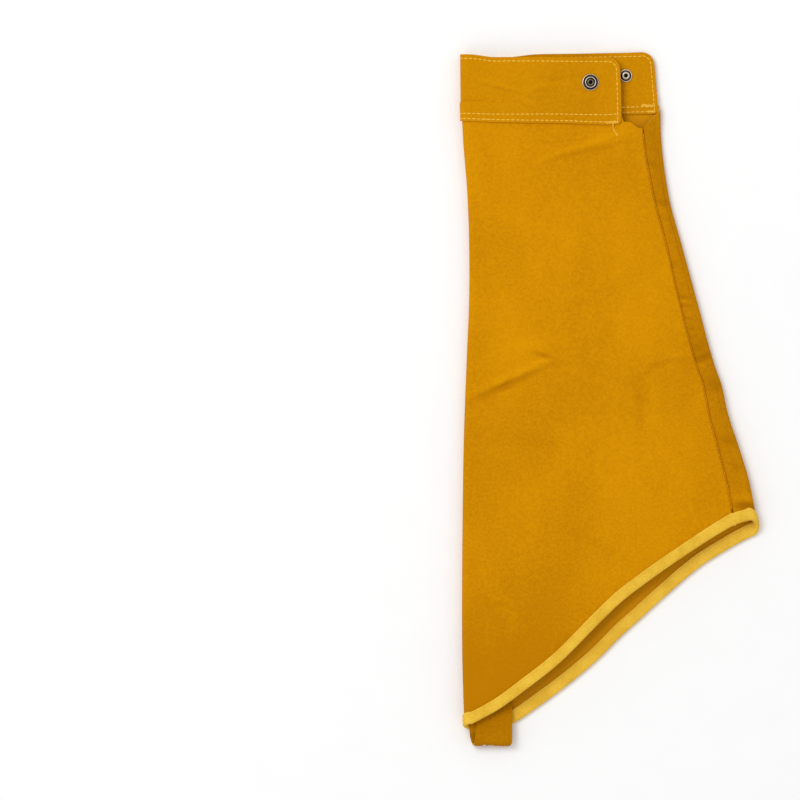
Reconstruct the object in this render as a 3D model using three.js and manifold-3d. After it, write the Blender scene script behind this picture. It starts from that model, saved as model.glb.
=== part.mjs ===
// One leather welding sleeve, lying flat on a table: a tube of suede split leather, cut from two panels, that flares
// from a cuff with press snaps to a slanted shoulder opening with a taped hem and a loop for the tie lace.
// Lengths are in millimetres. X runs across the sleeve from its long folded side to its short folded side, Y runs
// up towards the cuff, and Z is up off the table. Down is the distance below the cuff's top, across is the distance
// from the outside of the long folded side.
import * as THREE from "three";
import { mergeVertices } from "three/addons/utils/BufferGeometryUtils.js";
import Module from "manifold-3d";

const wasm = await Module();
wasm.setup();

// Driving sizes of the tube, lying flat.
const longSide = 571; // cuff top to hem, at the long folded side
const shortSide = 395; // cuff top to hem, at the short folded side
const wristWidth = 170; // across the tube where its cuff ends
const shoulderWidth = 256; // across the tube at the tip of its hem
const puff = 14; // how far the upper face stands off the table
const leather = 1.4; // thickness of the suede
const clearance = 0.3; // gap between faces that are sewn or pressed together

// The two lengthwise seams. The plain one is turned: the upper panel's edge rolls under and the lower panel's edge
// runs on beneath it. At the lapped one the lower panel lies over the upper one, on the underside.
const seamInset = 17.2; // the plain seam, in from the short folded side, halfway down
const seamAllowance = 7;
const lapInsetCuff = 8; // the lapped edge, in from the long folded side, at the cuff
const lapInsetHem = 18; // and at the hem
const lapUnderlap = 12;

// The cuff band: two strips with the panels' ends between them.
const bandHeight = 57;
const bandThickness = 1.4;
const bandLap = 14; // how far the panels run up between the strips
const upperFlapShort = 32.6; // from the upper flap's end to the full width of the wrist
const lowerFlapShort = 2.3;
const flapCorner = 10; // radius
const upperHeel = 3; // radius of the upper flap's corner at the band's bottom
const notchDrop = 8; // from the band's height down to the notch that the plain seam starts from
const notchRun = 16; // how far the lower panel's cut edge climbs from the notch to the short fold
const cornerDrop = 2.5; // the same to the upper panel's corner beside the upper flap

// The tape round the hem.
const tapeWidth = 8; // its leg on the outside of the leather
const tapeUnder = 9; // and its leg inside, which is a little wider
const tapeThickness = 0.9;
const tapeClearance = 0.35;

// The strap loop that takes the tie lace.
const loopWidth = 32;
const loopLength = 42; // from its sewn ends to its fold
const loopHeight = 11;
const loopThickness = 1.4;
const loopInset = 13; // across to its near side

// The press snaps, each riveted through both strips by a hollow barrel.
const upperSnap = { inset: 25, drop: 21 };
const lowerSnap = { inset: 24.5, drop: 20.2 };
const barrelRadius = 2.2;
const barrelBore = 1.5;
const plateThickness = 0.7;
const socketRadius = 6.95;
const collarRadius = 4.75;
const collarHeight = 1.25;
const rollRadius = 2.75;
const rollHeight = 0.65;
const postRadius = 5.6;
const studRadius = 5.5;
const knobRadius = 3.35;
const knobHeight = 2;
const capRadius = 6.6;
const capRise = 1.7;

// Steps of the meshes.
const UPPER_STEPS = 12;
const LOWER_STEPS = 12;
const FOLD_STEPS = 6;
const LENGTH_STEPS = 19;
const LATHE_SIDES = 24;

// The long folded edge: down as a share of the long side, in as a share of the wrist's width.
const LONG_EDGE = [
  { down: 0.0, in: 0.014 },
  { down: 0.1, in: 0.019 },
  { down: 0.135, in: 0.025 },
  { down: 0.205, in: 0.044 },
  { down: 0.28, in: 0.054 },
  { down: 0.37, in: 0.054 },
  { down: 0.443, in: 0.044 },
  { down: 0.562, in: 0.029 },
  { down: 0.634, in: 0.024 },
  { down: 0.9, in: 0.02 },
  { down: 1.0, in: 0.03 },
];

// The short folded edge: down as a share of the short side, out as a share of the flare from wrist to shoulder.
const SHORT_EDGE = [
  { down: 0.0, out: -0.035 },
  { down: 0.125, out: 0.01 },
  { down: 0.19, out: 0.021 },
  { down: 0.262, out: 0.058 },
  { down: 0.332, out: 0.116 },
  { down: 0.4, out: 0.203 },
  { down: 0.538, out: 0.376 },
  { down: 0.676, out: 0.55 },
  { down: 0.715, out: 0.614 },
  { down: 0.779, out: 0.68 },
  { down: 0.848, out: 0.784 },
  { down: 0.916, out: 0.88 },
  { down: 0.97, out: 0.932 },
  { down: 1.02, out: 0.972 },
  { down: 1.1, out: 0.99 },
];

// The plain seam: down as a share of the short side, in as a share of the seam's inset.
const SEAM_LINE = [
  { down: 0.1, in: 0.95 },
  { down: 0.2, in: 0.93 },
  { down: 0.3, in: 0.83 },
  { down: 0.41, in: 0.84 },
  { down: 0.53, in: 0.95 },
  { down: 0.75, in: 1.0 },
  { down: 0.82, in: 1.08 },
  { down: 0.89, in: 1.18 },
  { down: 0.98, in: 1.21 },
  { down: 1.1, in: 1.21 },
];

// The hem's outer edge: across as a share of the shoulder's width, down from the short side's hem (0) to the long
// side's (1).
const UPPER_HEM = [
  { across: 0.02, down: 1.01 },
  { across: 0.07, down: 0.974 },
  { across: 0.136, down: 0.92 },
  { across: 0.219, down: 0.832 },
  { across: 0.336, down: 0.697 },
  { across: 0.468, down: 0.505 },
  { across: 0.535, down: 0.411 },
  { across: 0.601, down: 0.335 },
  { across: 0.734, down: 0.198 },
  { across: 0.867, down: 0.073 },
  { across: 0.92, down: 0.031 },
  { across: 0.966, down: 0.012 },
];
const LOWER_HEM = [
  { across: 0.017, down: 1.018 },
  { across: 0.1, down: 1.03 },
  { across: 0.176, down: 0.997 },
  { across: 0.269, down: 0.909 },
  { across: 0.385, down: 0.782 },
  { across: 0.468, down: 0.678 },
  { across: 0.535, down: 0.58 },
  { across: 0.601, down: 0.493 },
  { across: 0.668, down: 0.404 },
  { across: 0.8, down: 0.24 },
  { across: 0.867, down: 0.176 },
  { across: 0.933, down: 0.121 },
  { across: 0.985, down: 0.082 },
];

// The cuff band's edges: across as a share of the wrist's width, the edges as shares of the band's height.
const BAND_EDGES = [
  { across: 0.0, upperTop: 0.035, upperBottom: 1.03, lowerTop: 0.035, lowerBottom: 1.03 },
  { across: 0.08, upperTop: 0.046, upperBottom: 1.04, lowerTop: 0.055, lowerBottom: 1.028 },
  { across: 0.165, upperTop: 0.08, upperBottom: 1.051, lowerTop: 0.077, lowerBottom: 1.026 },
  { across: 0.25, upperTop: 0.081, upperBottom: 1.056, lowerTop: 0.077, lowerBottom: 1.02 },
  { across: 0.38, upperTop: 0.081, upperBottom: 1.061, lowerTop: 0.035, lowerBottom: 1.009 },
  { across: 0.52, upperTop: 0.086, upperBottom: 1.068, lowerTop: 0.025, lowerBottom: 0.99 },
  { across: 0.65, upperTop: 0.089, upperBottom: 1.082, lowerTop: 0.021, lowerBottom: 0.96 },
  { across: 0.75, upperTop: 0.09, upperBottom: 1.086, lowerTop: 0.017, lowerBottom: 0.94 },
  { across: 0.82, upperTop: 0.09, upperBottom: 1.066, lowerTop: 0.014, lowerBottom: 0.93 },
  { across: 0.98, upperTop: 0.09, upperBottom: 1.05, lowerTop: 0.0, lowerBottom: 0.918 },
];

// The tube's heights: down as a share of the long side. The folds' are their depths from face to face, the middle's
// and the seam's are heights over the table, all as shares of the puff.
const HEIGHTS = [
  { down: 0.0, longFold: 0.74, middle: 1.0, seam: 0.86, shortFold: 0.3 },
  { down: 0.11, longFold: 0.7, middle: 1.0, seam: 0.84, shortFold: 0.3 },
  { down: 0.22, longFold: 0.66, middle: 1.02, seam: 0.82, shortFold: 0.44 },
  { down: 0.45, longFold: 0.66, middle: 1.0, seam: 0.84, shortFold: 0.56 },
  { down: 0.7, longFold: 0.74, middle: 1.1, seam: 1.0, shortFold: 0.74 },
  { down: 1.0, longFold: 0.82, middle: 1.26, seam: 1.1, shortFold: 0.8 },
];

// Soft dents and swells of the upper face: place and size as shares of the shoulder's width and the long side, rise
// as a share of the puff, turn in degrees.
const DENTS = [
  { across: 0.24, down: 0.6, wide: 0.3, long: 0.03, turn: 4, rise: -0.06 },
  { across: 0.42, down: 0.3, wide: 0.22, long: 0.07, turn: -20, rise: 0.08 },
  { across: 0.12, down: 0.42, wide: 0.09, long: 0.16, turn: 5, rise: -0.06 },
  { across: 0.52, down: 0.47, wide: 0.18, long: 0.05, turn: 30, rise: 0.07 },
  { across: 0.18, down: 0.8, wide: 0.09, long: 0.13, turn: -8, rise: -0.07 },
  { across: 0.42, down: 0.7, wide: 0.17, long: 0.05, turn: 35, rise: 0.06 },
];

// The loop's middle line, from the lower layer's sewn end round the fold to the upper layer's: out past the hem as a
// share of its length, up as a share of its height, aside as a share of its width.
const LOOP_LINE = [
  { out: -0.667, up: 0.432, aside: 0.0 },
  { out: -0.405, up: 0.5, aside: 0.0 },
  { out: -0.274, up: 0.605, aside: 0.0 },
  { out: 0.052, up: 0.605, aside: -0.02 },
  { out: 0.13, up: 0.42, aside: -0.05 },
  { out: 0.2, up: 0.24, aside: -0.07 },
  { out: 0.262, up: 0.19, aside: -0.07 },
  { out: 0.31, up: 0.28, aside: -0.05 },
  { out: 0.333, up: 0.52, aside: -0.02 },
  { out: 0.315, up: 0.77, aside: 0.0 },
  { out: 0.262, up: 0.92, aside: 0.0 },
  { out: 0.15, up: 0.94, aside: 0.0 },
  { out: 0.04, up: 0.83, aside: 0.0 },
  { out: -0.1, up: 0.77, aside: 0.0 },
  { out: -0.274, up: 0.76, aside: 0.0 },
  { out: -0.405, up: 0.655, aside: 0.0 },
  { out: -0.667, up: 0.587, aside: 0.0 },
];

const flare = shoulderWidth - wristWidth;
const upperFlapEnd = wristWidth - upperFlapShort;
const lowerFlapEnd = wristWidth - lowerFlapShort;
const slitDepth = bandHeight + notchDrop;
const panelCorner = bandHeight + cornerDrop;
const ply = leather + clearance; // one panel over the next
const onPanel = (leather + bandThickness) / 2 + clearance; // middle of a strip off the middle of the panel under it
const closed = (bandThickness + clearance) / 2; // middle of a strip off the middle of the pair
const parting = 3; // the run in which the strips part to take the panels' ends
const tapeOff = (leather + tapeThickness) / 2 + tapeClearance;
const tapeReach = tapeClearance + tapeThickness; // how far the tape passes the panels' hem
const hemFlat = tapeUnder * 1.7; // the run above the hem that is held up by the tape
const hemSlope = hemFlat + 24;
const cuffSlope = 18; // the run below the cuff in which the lower panel settles onto the table
const capLift = capRise + 2 * clearance;
const plateau = socketRadius + 1.6; // the flat patch round a snap
const plateauSlope = 40;
const flapHalf = closed + bandThickness / 2; // outside of the pair of strips off its middle

const mix = (a, b, share) => a + (b - a) * share;
const clamp = (v, low, high) => Math.min(high, Math.max(low, v));
const smooth = (low, high, v) => {
  const share = clamp((v - low) / (high - low), 0, 1);
  return share * share * (3 - 2 * share);
};
const steps = (from, to, count) => Array.from({ length: count + 1 }, (_, i) => mix(from, to, i / count));

// A smooth line through one column of a table, carried on straight past its ends.
function lineThrough(table, key, column) {
  const last = table.length - 1;
  const slope = (i) => (table[i + 1][column] - table[i][column]) / (table[i + 1][key] - table[i][key]);
  const tangents = table.map((_, i) => (slope(Math.max(i - 1, 0)) + slope(Math.min(i, last - 1))) / 2);
  return (at) => {
    if (at <= table[0][key]) return table[0][column] + tangents[0] * (at - table[0][key]);
    if (at >= table[last][key]) return table[last][column] + tangents[last] * (at - table[last][key]);
    const i = table.findIndex((row) => row[key] > at) - 1;
    const span = table[i + 1][key] - table[i][key];
    const t = (at - table[i][key]) / span;
    const start = table[i][column] * (1 + 2 * t) * (1 - t) ** 2 + tangents[i] * span * t * (1 - t) ** 2;
    return start + table[i + 1][column] * t * t * (3 - 2 * t) - tangents[i + 1] * span * t * t * (1 - t);
  };
}

const longEdgeIn = lineThrough(LONG_EDGE, "down", "in");
const shortEdgeOut = lineThrough(SHORT_EDGE, "down", "out");
const seamIn = lineThrough(SEAM_LINE, "down", "in");
const upperHemDown = lineThrough(UPPER_HEM, "across", "down");
const lowerHemDown = lineThrough(LOWER_HEM, "across", "down");
const bandEdge = {};
for (const name of ["upperTop", "upperBottom", "lowerTop", "lowerBottom"]) {
  const line = lineThrough(BAND_EDGES, "across", name);
  bandEdge[name] = (x) => line(x / wristWidth) * bandHeight;
}
const heights = {};
for (const name of ["longFold", "middle", "seam", "shortFold"]) {
  const line = lineThrough(HEIGHTS, "down", name);
  heights[name] = (down) => line(down / longSide) * puff;
}

// The tube's middle surface has five parts: the upper face from the plain seam to the long fold, that fold, the
// lower face, the short fold, and the strip that comes back over it to the seam. A place is a part and a share of it.
const UPPER = 0;
const LONG_FOLD = 1;
const LOWER = 2;
const SHORT_FOLD = 3;
const STRIP = 4;

const longEdge = (down) => longEdgeIn(down / longSide) * wristWidth;
const shortEdge = (down) => wristWidth - leather / 2 + shortEdgeOut(down / shortSide) * flare;
const seamAt = (down) => shortEdge(down) - seamInset * seamIn(down / shortSide) + leather / 2;
const longRadius = (down) => heights.longFold(down) / 2;
const shortRadius = (down) => heights.shortFold(down) / 2;
const snapAt = {
  upper: { x: upperFlapEnd - upperSnap.inset, down: bandEdge.upperTop(upperFlapEnd) + upperSnap.drop },
  lower: { x: lowerFlapEnd - lowerSnap.inset, down: bandEdge.lowerTop(lowerFlapEnd) + lowerSnap.drop },
};

function across({ part, share }, down) {
  const left = longEdge(down);
  const right = shortEdge(down);
  const bulge = 1 - Math.sin(share * Math.PI);
  if (part === UPPER) return mix(seamAt(down), left + longRadius(down), share);
  if (part === LONG_FOLD) return left + longRadius(down) * bulge;
  if (part === LOWER) return mix(left + longRadius(down), right - shortRadius(down), share);
  if (part === SHORT_FOLD) return right - shortRadius(down) * bulge;
  return mix(right - shortRadius(down), seamAt(down), share);
}

// The place on the upper or the lower face at that distance across.
function faceAt(part, x, down) {
  const from = across({ part, share: 0 }, down);
  const to = across({ part, share: 1 }, down);
  return { part, share: (x - from) / (to - from) };
}

// How far down the panels' hem lies, worked out once for a row of places on each part.
const HEM_PLACES = 40;
const tapeEdge = (line, x) => mix(shortSide, longSide, line(x / shoulderWidth));
const hemLines = [UPPER, LONG_FOLD, LOWER, SHORT_FOLD, STRIP].map((part) => {
  if (part === LONG_FOLD || part === SHORT_FOLD) return null;
  return steps(0, 1, HEM_PLACES).map((share) => {
    const line = part === LOWER ? lowerHemDown : upperHemDown;
    let down = mix(shortSide, longSide, 0.5);
    for (let i = 0; i < 60; i++) {
      const x = across({ part, share }, down);
      const slope = (tapeEdge(line, x + 1) - tapeEdge(line, x - 1)) / 2;
      down = mix(down, tapeEdge(line, x) - tapeReach * Math.hypot(1, slope), 0.5);
    }
    return down;
  });
});
hemLines[LONG_FOLD] = steps(0, 1, HEM_PLACES).map((share) =>
  mix(hemLines[UPPER][HEM_PLACES], hemLines[LOWER][0], (1 - Math.cos(share * Math.PI)) / 2),
);
hemLines[SHORT_FOLD] = steps(0, 1, HEM_PLACES).map((share) =>
  mix(hemLines[LOWER][HEM_PLACES], hemLines[STRIP][0], (1 - Math.cos(share * Math.PI)) / 2),
);

function hemAt({ part, share }) {
  const at = clamp(share, 0, 1) * HEM_PLACES;
  const i = Math.min(Math.floor(at), HEM_PLACES - 1);
  return mix(hemLines[part][i], hemLines[part][i + 1], at - i);
}

// The lower face's height: it rises onto the cuff band, onto the hem's tape and over the cap of its snap.
function lowerHeight(x, down, hem) {
  const edge = bandEdge.lowerBottom(x);
  const onBand = mix(mix(closed, onPanel, partedAt(edge, down)), 0, smooth(edge + 1, edge + cuffSlope, down));
  const onTape = tapeReach * (1 - smooth(hemFlat, hemSlope, hem - down));
  const away = Math.hypot(x - snapAt.lower.x, down - snapAt.lower.down);
  const onCap = capLift * (1 - smooth(plateau, plateau + plateauSlope, away));
  return leather / 2 + onBand + onTape + onCap;
}

// Whether the strips are parted there: 0 above the panels' ends, 1 beside them.
function partedAt(edge, down) {
  const split = edge - bandLap - clearance;
  return smooth(split - parting, split, down);
}

function longBase(down, hem) {
  const x = longEdge(down);
  return lowerHeight(x, down, hem) + ply * partedAt(bandEdge.lowerBottom(x), down);
}

function upperHeight(share, x, down, hem) {
  const seam = heights.seam(down);
  const fold = longBase(down, hem) + 2 * longRadius(down);
  const crown = 4 * share * (1 - share);
  let z = mix(seam, fold, share) + crown * (heights.middle(down) - (seam + fold) / 2);
  for (const dent of DENTS) {
    const turn = (dent.turn * Math.PI) / 180;
    const right = x - dent.across * shoulderWidth;
    const below = down - dent.down * longSide;
    const u = (right * Math.cos(turn) + below * Math.sin(turn)) / (dent.wide * shoulderWidth);
    const v = (below * Math.cos(turn) - right * Math.sin(turn)) / (dent.long * longSide);
    z += dent.rise * puff * clamp(crown, 0, 1) * Math.exp(-u * u - v * v);
  }
  return z;
}

function heightAt(place, down) {
  const { part, share } = place;
  const hem = hemAt(place);
  const x = across(place, down);
  if (part === UPPER) return upperHeight(share, x, down, hem);
  if (part === LONG_FOLD) return longBase(down, hem) + longRadius(down) * (1 + Math.cos(share * Math.PI));
  if (part === LOWER) return lowerHeight(x, down, hem);
  const base = lowerHeight(shortEdge(down) - shortRadius(down), down, hem);
  if (part === SHORT_FOLD) return base + shortRadius(down) * (1 - Math.cos(share * Math.PI));
  return mix(base + 2 * shortRadius(down), heights.seam(down) - 2 * ply, smooth(0, 1, share));
}

const pointAt = (place, down) => new THREE.Vector3(across(place, down), -down, heightAt(place, down));

function normalAt({ part, share }, down) {
  const reach = 0.004;
  const around = pointAt({ part, share: share + reach }, down).sub(pointAt({ part, share: share - reach }, down));
  const below = pointAt({ part, share }, down + 0.5).sub(pointAt({ part, share }, down - 0.5));
  return around.cross(below).normalize();
}

const offTube = (place, down, offset) =>
  pointAt(place, down).addScaledVector(normalAt(place, down), offset);

// A column of a sheet: where it lies, which can shift down the sleeve, how far off the tube, and its rows.
function tubeColumn(placeAt, offsetAt, rows) {
  const at = (down, aside) => offTube(placeAt(down), down, offsetAt(down) + aside);
  return { at, rows };
}

// A closed slab between an outer and an inner grid of points. A ring also joins its last column to its first.
function slab(outer, inner, ring = false) {
  const columns = outer.length;
  const rows = outer[0].length;
  const positions = [...outer.flat(), ...inner.flat()].flatMap((p) => [p.x, p.y, p.z]);
  const index = [];
  const quad = (a, b, c, d) => index.push(a, b, c, a, c, d);
  const out = (i, j) => (i % columns) * rows + j;
  const back = (i, j) => columns * rows + out(i, j);
  for (let i = 0; i < (ring ? columns : columns - 1); i++) {
    for (let j = 0; j < rows - 1; j++) {
      quad(out(i, j), out(i + 1, j), out(i + 1, j + 1), out(i, j + 1));
      quad(back(i, j), back(i, j + 1), back(i + 1, j + 1), back(i + 1, j));
    }
    quad(out(i, 0), back(i, 0), back(i + 1, 0), out(i + 1, 0));
    quad(out(i, rows - 1), out(i + 1, rows - 1), back(i + 1, rows - 1), back(i, rows - 1));
  }
  if (!ring)
    for (let j = 0; j < rows - 1; j++) {
      quad(out(0, j), out(0, j + 1), back(0, j + 1), back(0, j));
      quad(out(columns - 1, j), back(columns - 1, j), back(columns - 1, j + 1), out(columns - 1, j + 1));
    }
  const geometry = new THREE.BufferGeometry();
  geometry.setAttribute("position", new THREE.Float32BufferAttribute(positions, 3));
  geometry.setIndex(index);
  return geometry;
}

function sheet(columns, thickness) {
  const side = (aside) => columns.map(({ at, rows }) => rows.map((down) => at(down, aside)));
  return slab(side(thickness / 2), side(-thickness / 2));
}

// Where a column that shifts with the distance down meets the hem.
function hemOf(placeAt) {
  let down = longSide;
  for (let i = 0; i < 12; i++) down = hemAt(placeAt(down));
  return down;
}

function panelRows(top, edge, hem) {
  const under = Math.max(edge + 1, top + 1.5);
  const settled = Math.max(edge + cuffSlope, under + 3);
  return [top, under, ...steps(settled, hem - hemSlope, LENGTH_STEPS), hem - hemFlat, hem];
}

const cuffLevel = bandHeight - bandLap; // where places across the cuff are worked out
const fixed = (place) => () => place;
const lapInset = (down) => mix(lapInsetCuff, lapInsetHem, clamp(down / longSide, 0, 1));
const lapEdge = (down) => faceAt(LOWER, longEdge(down) + lapInset(down), down);
const level = (offset) => () => offset;

// Shares of the upper face: beside the upper flap, and the columns from the flap on round to the long fold.
const corner = faceAt(UPPER, upperFlapEnd + 1.5, cuffLevel).share;
const upperShares = steps(faceAt(UPPER, upperFlapEnd - 3, cuffLevel).share, 1, UPPER_STEPS);

function upperPanel() {
  const seam = { part: UPPER, share: 0 };
  const notch = panelRows(slitDepth, bandEdge.upperBottom(upperFlapEnd), hemAt(seam));
  const rollX = (down) => seamAt(down) - ply / 2;
  // The turned allowance lies face down under the panel's edge, and the roll joins it to the face.
  const turned = (inset) => ({
    rows: notch,
    at: (down, aside) => offTube(faceAt(UPPER, seamAt(down) - inset, down), down, -ply - aside),
  });
  const rolled = (degrees) => ({
    rows: notch,
    at: (down, aside) => {
      const place = faceAt(UPPER, rollX(down), down);
      const angle = (degrees * Math.PI) / 180;
      const radius = ply / 2 + aside;
      const centre = offTube(place, down, -ply / 2 + radius * Math.sin(angle));
      return centre.add(new THREE.Vector3(radius * Math.cos(angle), 0, 0));
    },
  });
  const columns = [turned(seamAllowance), ...[-90, -30, 30, 90].map(rolled)];
  for (const share of steps(0, corner, 3).slice(1)) {
    const top = mix(slitDepth, panelCorner, smooth(0.1, 0.75, share / corner));
    const place = { part: UPPER, share };
    const rows = panelRows(top, bandEdge.upperBottom(upperFlapEnd), hemAt(place));
    columns.push(tubeColumn(fixed(place), level(0), rows));
  }
  const face = upperShares.map((share) => ({ part: UPPER, share }));
  const fold = steps(0, 1, FOLD_STEPS).slice(1).map((share) => ({ part: LONG_FOLD, share }));
  for (const place of [...face, ...fold]) {
    const x = across(place, cuffLevel);
    const edge = place.part === UPPER ? bandEdge.upperBottom(x) : bandEdge.lowerBottom(x);
    const rows = panelRows(edge - bandLap, edge, hemAt(place));
    columns.push(tubeColumn(fixed(place), level(0), rows));
  }
  for (const share of [1 / 3, 2 / 3, 1]) {
    const reach = (down) => mix(longRadius(down), lapInset(down) + lapUnderlap, share);
    const placeAt = (down) => faceAt(LOWER, longEdge(down) + reach(down), down);
    const edge = bandEdge.lowerBottom(lapInsetCuff);
    columns.push(tubeColumn(placeAt, level(-ply), panelRows(edge - bandLap, edge, hemOf(placeAt))));
  }
  return sheet(columns, leather);
}

function lowerPanel() {
  const columns = [];
  for (const step of steps(0, 1, LOWER_STEPS)) {
    const placeAt = (down) => ({ part: LOWER, share: mix(lapEdge(down).share, 1, step) });
    const edge = bandEdge.lowerBottom(across(placeAt(cuffLevel), cuffLevel));
    columns.push(tubeColumn(placeAt, level(0), panelRows(edge - bandLap, edge, hemOf(placeAt))));
  }
  // From the short fold on, the panel's top is the edge that climbs from the notch.
  const edge = bandEdge.lowerBottom(lowerFlapEnd);
  const fold = steps(0, 1, FOLD_STEPS).slice(1).map((share) => ({ part: SHORT_FOLD, share }));
  const strip = [0.5, 1].map((share) => ({ part: STRIP, share }));
  for (const place of [...fold, ...strip]) {
    const climb = place.part === STRIP ? mix(notchRun * 0.8, 0, place.share) : notchRun * mix(1.35, 0.8, place.share);
    columns.push(tubeColumn(fixed(place), level(0), panelRows(slitDepth - climb, edge, hemAt(place))));
  }
  const notch = panelRows(slitDepth, edge, hemAt({ part: UPPER, share: 0 }));
  for (const inset of [seamAllowance / 2, seamAllowance]) {
    const placeAt = (down) => faceAt(UPPER, seamAt(down) - inset, down);
    columns.push(tubeColumn(placeAt, level(-2 * ply), notch));
  }
  return sheet(columns, leather);
}

// Places across the cuff band, from the upper flap's end round the long fold to the lower flap's end.
function bandPlaces() {
  const flap = (end, snap) => [0, 1.4, 4.6, flapCorner, snap.inset - plateau, snap.inset + plateau].map((d) => end - d);
  const reach = longEdge(cuffLevel) + longRadius(cuffLevel);
  const upper = flap(upperFlapEnd, upperSnap);
  const lower = flap(lowerFlapEnd, lowerSnap);
  const lap = longEdge(cuffLevel) + lapInset(cuffLevel);
  const lapRun = [lap - clearance, lap + lapUnderlap + clearance, lap + lapUnderlap + 6];
  const places = [...upper, ...steps(upper.at(-1), reach, 5).slice(1)].map((x) => faceAt(UPPER, x, cuffLevel));
  places.push(...steps(0, 1, FOLD_STEPS).slice(1).map((share) => ({ part: LONG_FOLD, share })));
  const open = steps(lapRun.at(-1), lower.at(-1), 4).slice(1, -1);
  places.push(...[...lapRun, ...open, ...lower.reverse()].map((x) => faceAt(LOWER, x, cuffLevel)));
  return places;
}

// The end of the upper panel's underlap pushes the inner strip further in.
function lapTuck(x) {
  const end = longEdge(cuffLevel) + lapInset(cuffLevel) + lapUnderlap + clearance;
  return x <= end + 1e-6 ? ply : 0;
}

// How far a corner's rounding cuts in, at a distance from the end that it rounds.
function rounding(radius, fromEnd) {
  const inCorner = Math.max(0, radius - fromEnd);
  return radius - Math.sqrt(radius ** 2 - inCorner ** 2);
}

function bandStrip(side) {
  const columns = bandPlaces().map((place) => {
    const x = across(place, cuffLevel);
    const isUpper = place.part === UPPER || (place.part === LONG_FOLD && place.share <= 0.5);
    const end = isUpper ? upperFlapEnd : lowerFlapEnd;
    const snap = isUpper ? snapAt.upper : snapAt.lower;
    const topEdge = isUpper ? bandEdge.upperTop(x) : bandEdge.lowerTop(x);
    const edge = isUpper ? bandEdge.upperBottom(x) : bandEdge.lowerBottom(x);
    const top = topEdge + rounding(flapCorner, end - x);
    const bottom = edge - (isUpper ? rounding(upperHeel, end - x) : 0);
    const split = edge - bandLap - clearance;
    const rows = [
      top,
      Math.max(snap.down - plateau, top + 0.5),
      snap.down + plateau,
      split - parting,
      split,
      mix(split, bottom, 0.5),
      bottom,
    ];
    const tuck = side < 0 && place.part === LOWER ? lapTuck(x) : 0;
    const offsetAt = (down) => side * mix(closed, onPanel + tuck, partedAt(edge, down));
    return tubeColumn(fixed(place), offsetAt, rows);
  });
  return sheet(columns, bandThickness);
}

// The hem's tape: a band folded over the raw edge, closed all round the opening.
function hemTape() {
  const lap = lapInset(longSide);
  const lapRun = (x) => faceAt(LOWER, longEdge(longSide) + x, longSide);
  const stop = 1.6; // past the rolled seam
  const faceFrom = (inset) => faceAt(UPPER, seamAt(shortSide) - inset, shortSide);
  const tucked = [faceFrom(-stop), faceFrom(seamAllowance * 0.5), faceFrom(seamAllowance + 0.6)];
  const open = [faceFrom(seamAllowance + 6).share, ...upperShares].map((share) => ({ part: UPPER, share }));
  const fold = steps(0, 1, FOLD_STEPS).slice(1).map((share) => ({ part: LONG_FOLD, share }));
  const lapped = [lapRun(lap - clearance), lapRun(lap + lapUnderlap + clearance)];
  const lowerShares = steps(lapEdge(longSide).share, 1, LOWER_STEPS);
  const untucked = lapRun(lap + lapUnderlap + 6).share;
  const under = [untucked, ...lowerShares.filter((share) => share > untucked)].map((share) => ({
    part: LOWER,
    share,
  }));
  const short = steps(0, 1, FOLD_STEPS).slice(1).map((share) => ({ part: SHORT_FOLD, share }));
  const strip = faceAt(STRIP, seamAt(shortSide) + 9, shortSide);
  const stations = [
    ...tucked.map((place) => ({ place, tuck: 2 * ply })),
    ...open.map((place) => ({ place, tuck: 0 })),
    ...fold.map((place) => ({ place, tuck: 0 })),
    ...lapped.map((place) => ({ place, tuck: ply })),
    ...under.map((place) => ({ place, tuck: 0 })),
    ...short.map((place) => ({ place, tuck: 0 })),
    { place: strip, tuck: 0 },
  ];
  const outer = [];
  const inner = [];
  for (const { place, tuck } of stations) {
    const hem = hemAt(place);
    const leg = tapeWidth * slantAt(place);
    const under = tapeUnder * slantAt(place);
    const profile = [
      { out: -leg, off: tapeOff },
      { out: -leg * 0.45, off: tapeOff },
      { out: 0.1, off: tapeOff },
      { out: tapeReach - tapeThickness / 2 + 0.2, off: tapeOff * 0.66 },
      { out: tapeReach - tapeThickness / 2 + 0.2, off: -tapeOff * 0.66 - tuck },
      { out: 0.1, off: -tapeOff - tuck },
      { out: -under * 0.45, off: -tapeOff - tuck },
      { out: -under, off: -tapeOff - tuck },
    ];
    const line = profile.map(({ out, off }) => new THREE.Vector2(out, off));
    const sides = profile.map((_, i) => {
      const before = line[Math.max(i - 1, 0)];
      const after = line[Math.min(i + 1, line.length - 1)];
      const along = after.clone().sub(before).normalize();
      return new THREE.Vector2(-along.y, along.x).multiplyScalar(tapeThickness / 2);
    });
    const at = (i, sign) => {
      const spot = line[i].clone().addScaledVector(sides[i], sign);
      return offTube(place, hem + spot.x, spot.y);
    };
    outer.push(profile.map((_, i) => at(i, 1)));
    inner.push(profile.map((_, i) => at(i, -1)));
  }
  return slab(outer, inner, true);
}

// How much longer a run down the sleeve is than the same run square to the slanted hem.
function slantAt({ part, share }) {
  if (part === LONG_FOLD) return mix(slantAt({ part: UPPER, share: 1 }), slantAt({ part: LOWER, share: 0 }), share);
  if (part === SHORT_FOLD) return mix(slantAt({ part: LOWER, share: 1 }), slantAt({ part: STRIP, share: 0 }), share);
  const a = { part, share: clamp(share - 0.04, 0, 1) };
  const b = { part, share: clamp(share + 0.04, 0, 1) };
  const run = across(a, hemAt(a)) - across(b, hemAt(b));
  return Math.hypot(1, (hemAt(a) - hemAt(b)) / run);
}

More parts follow.
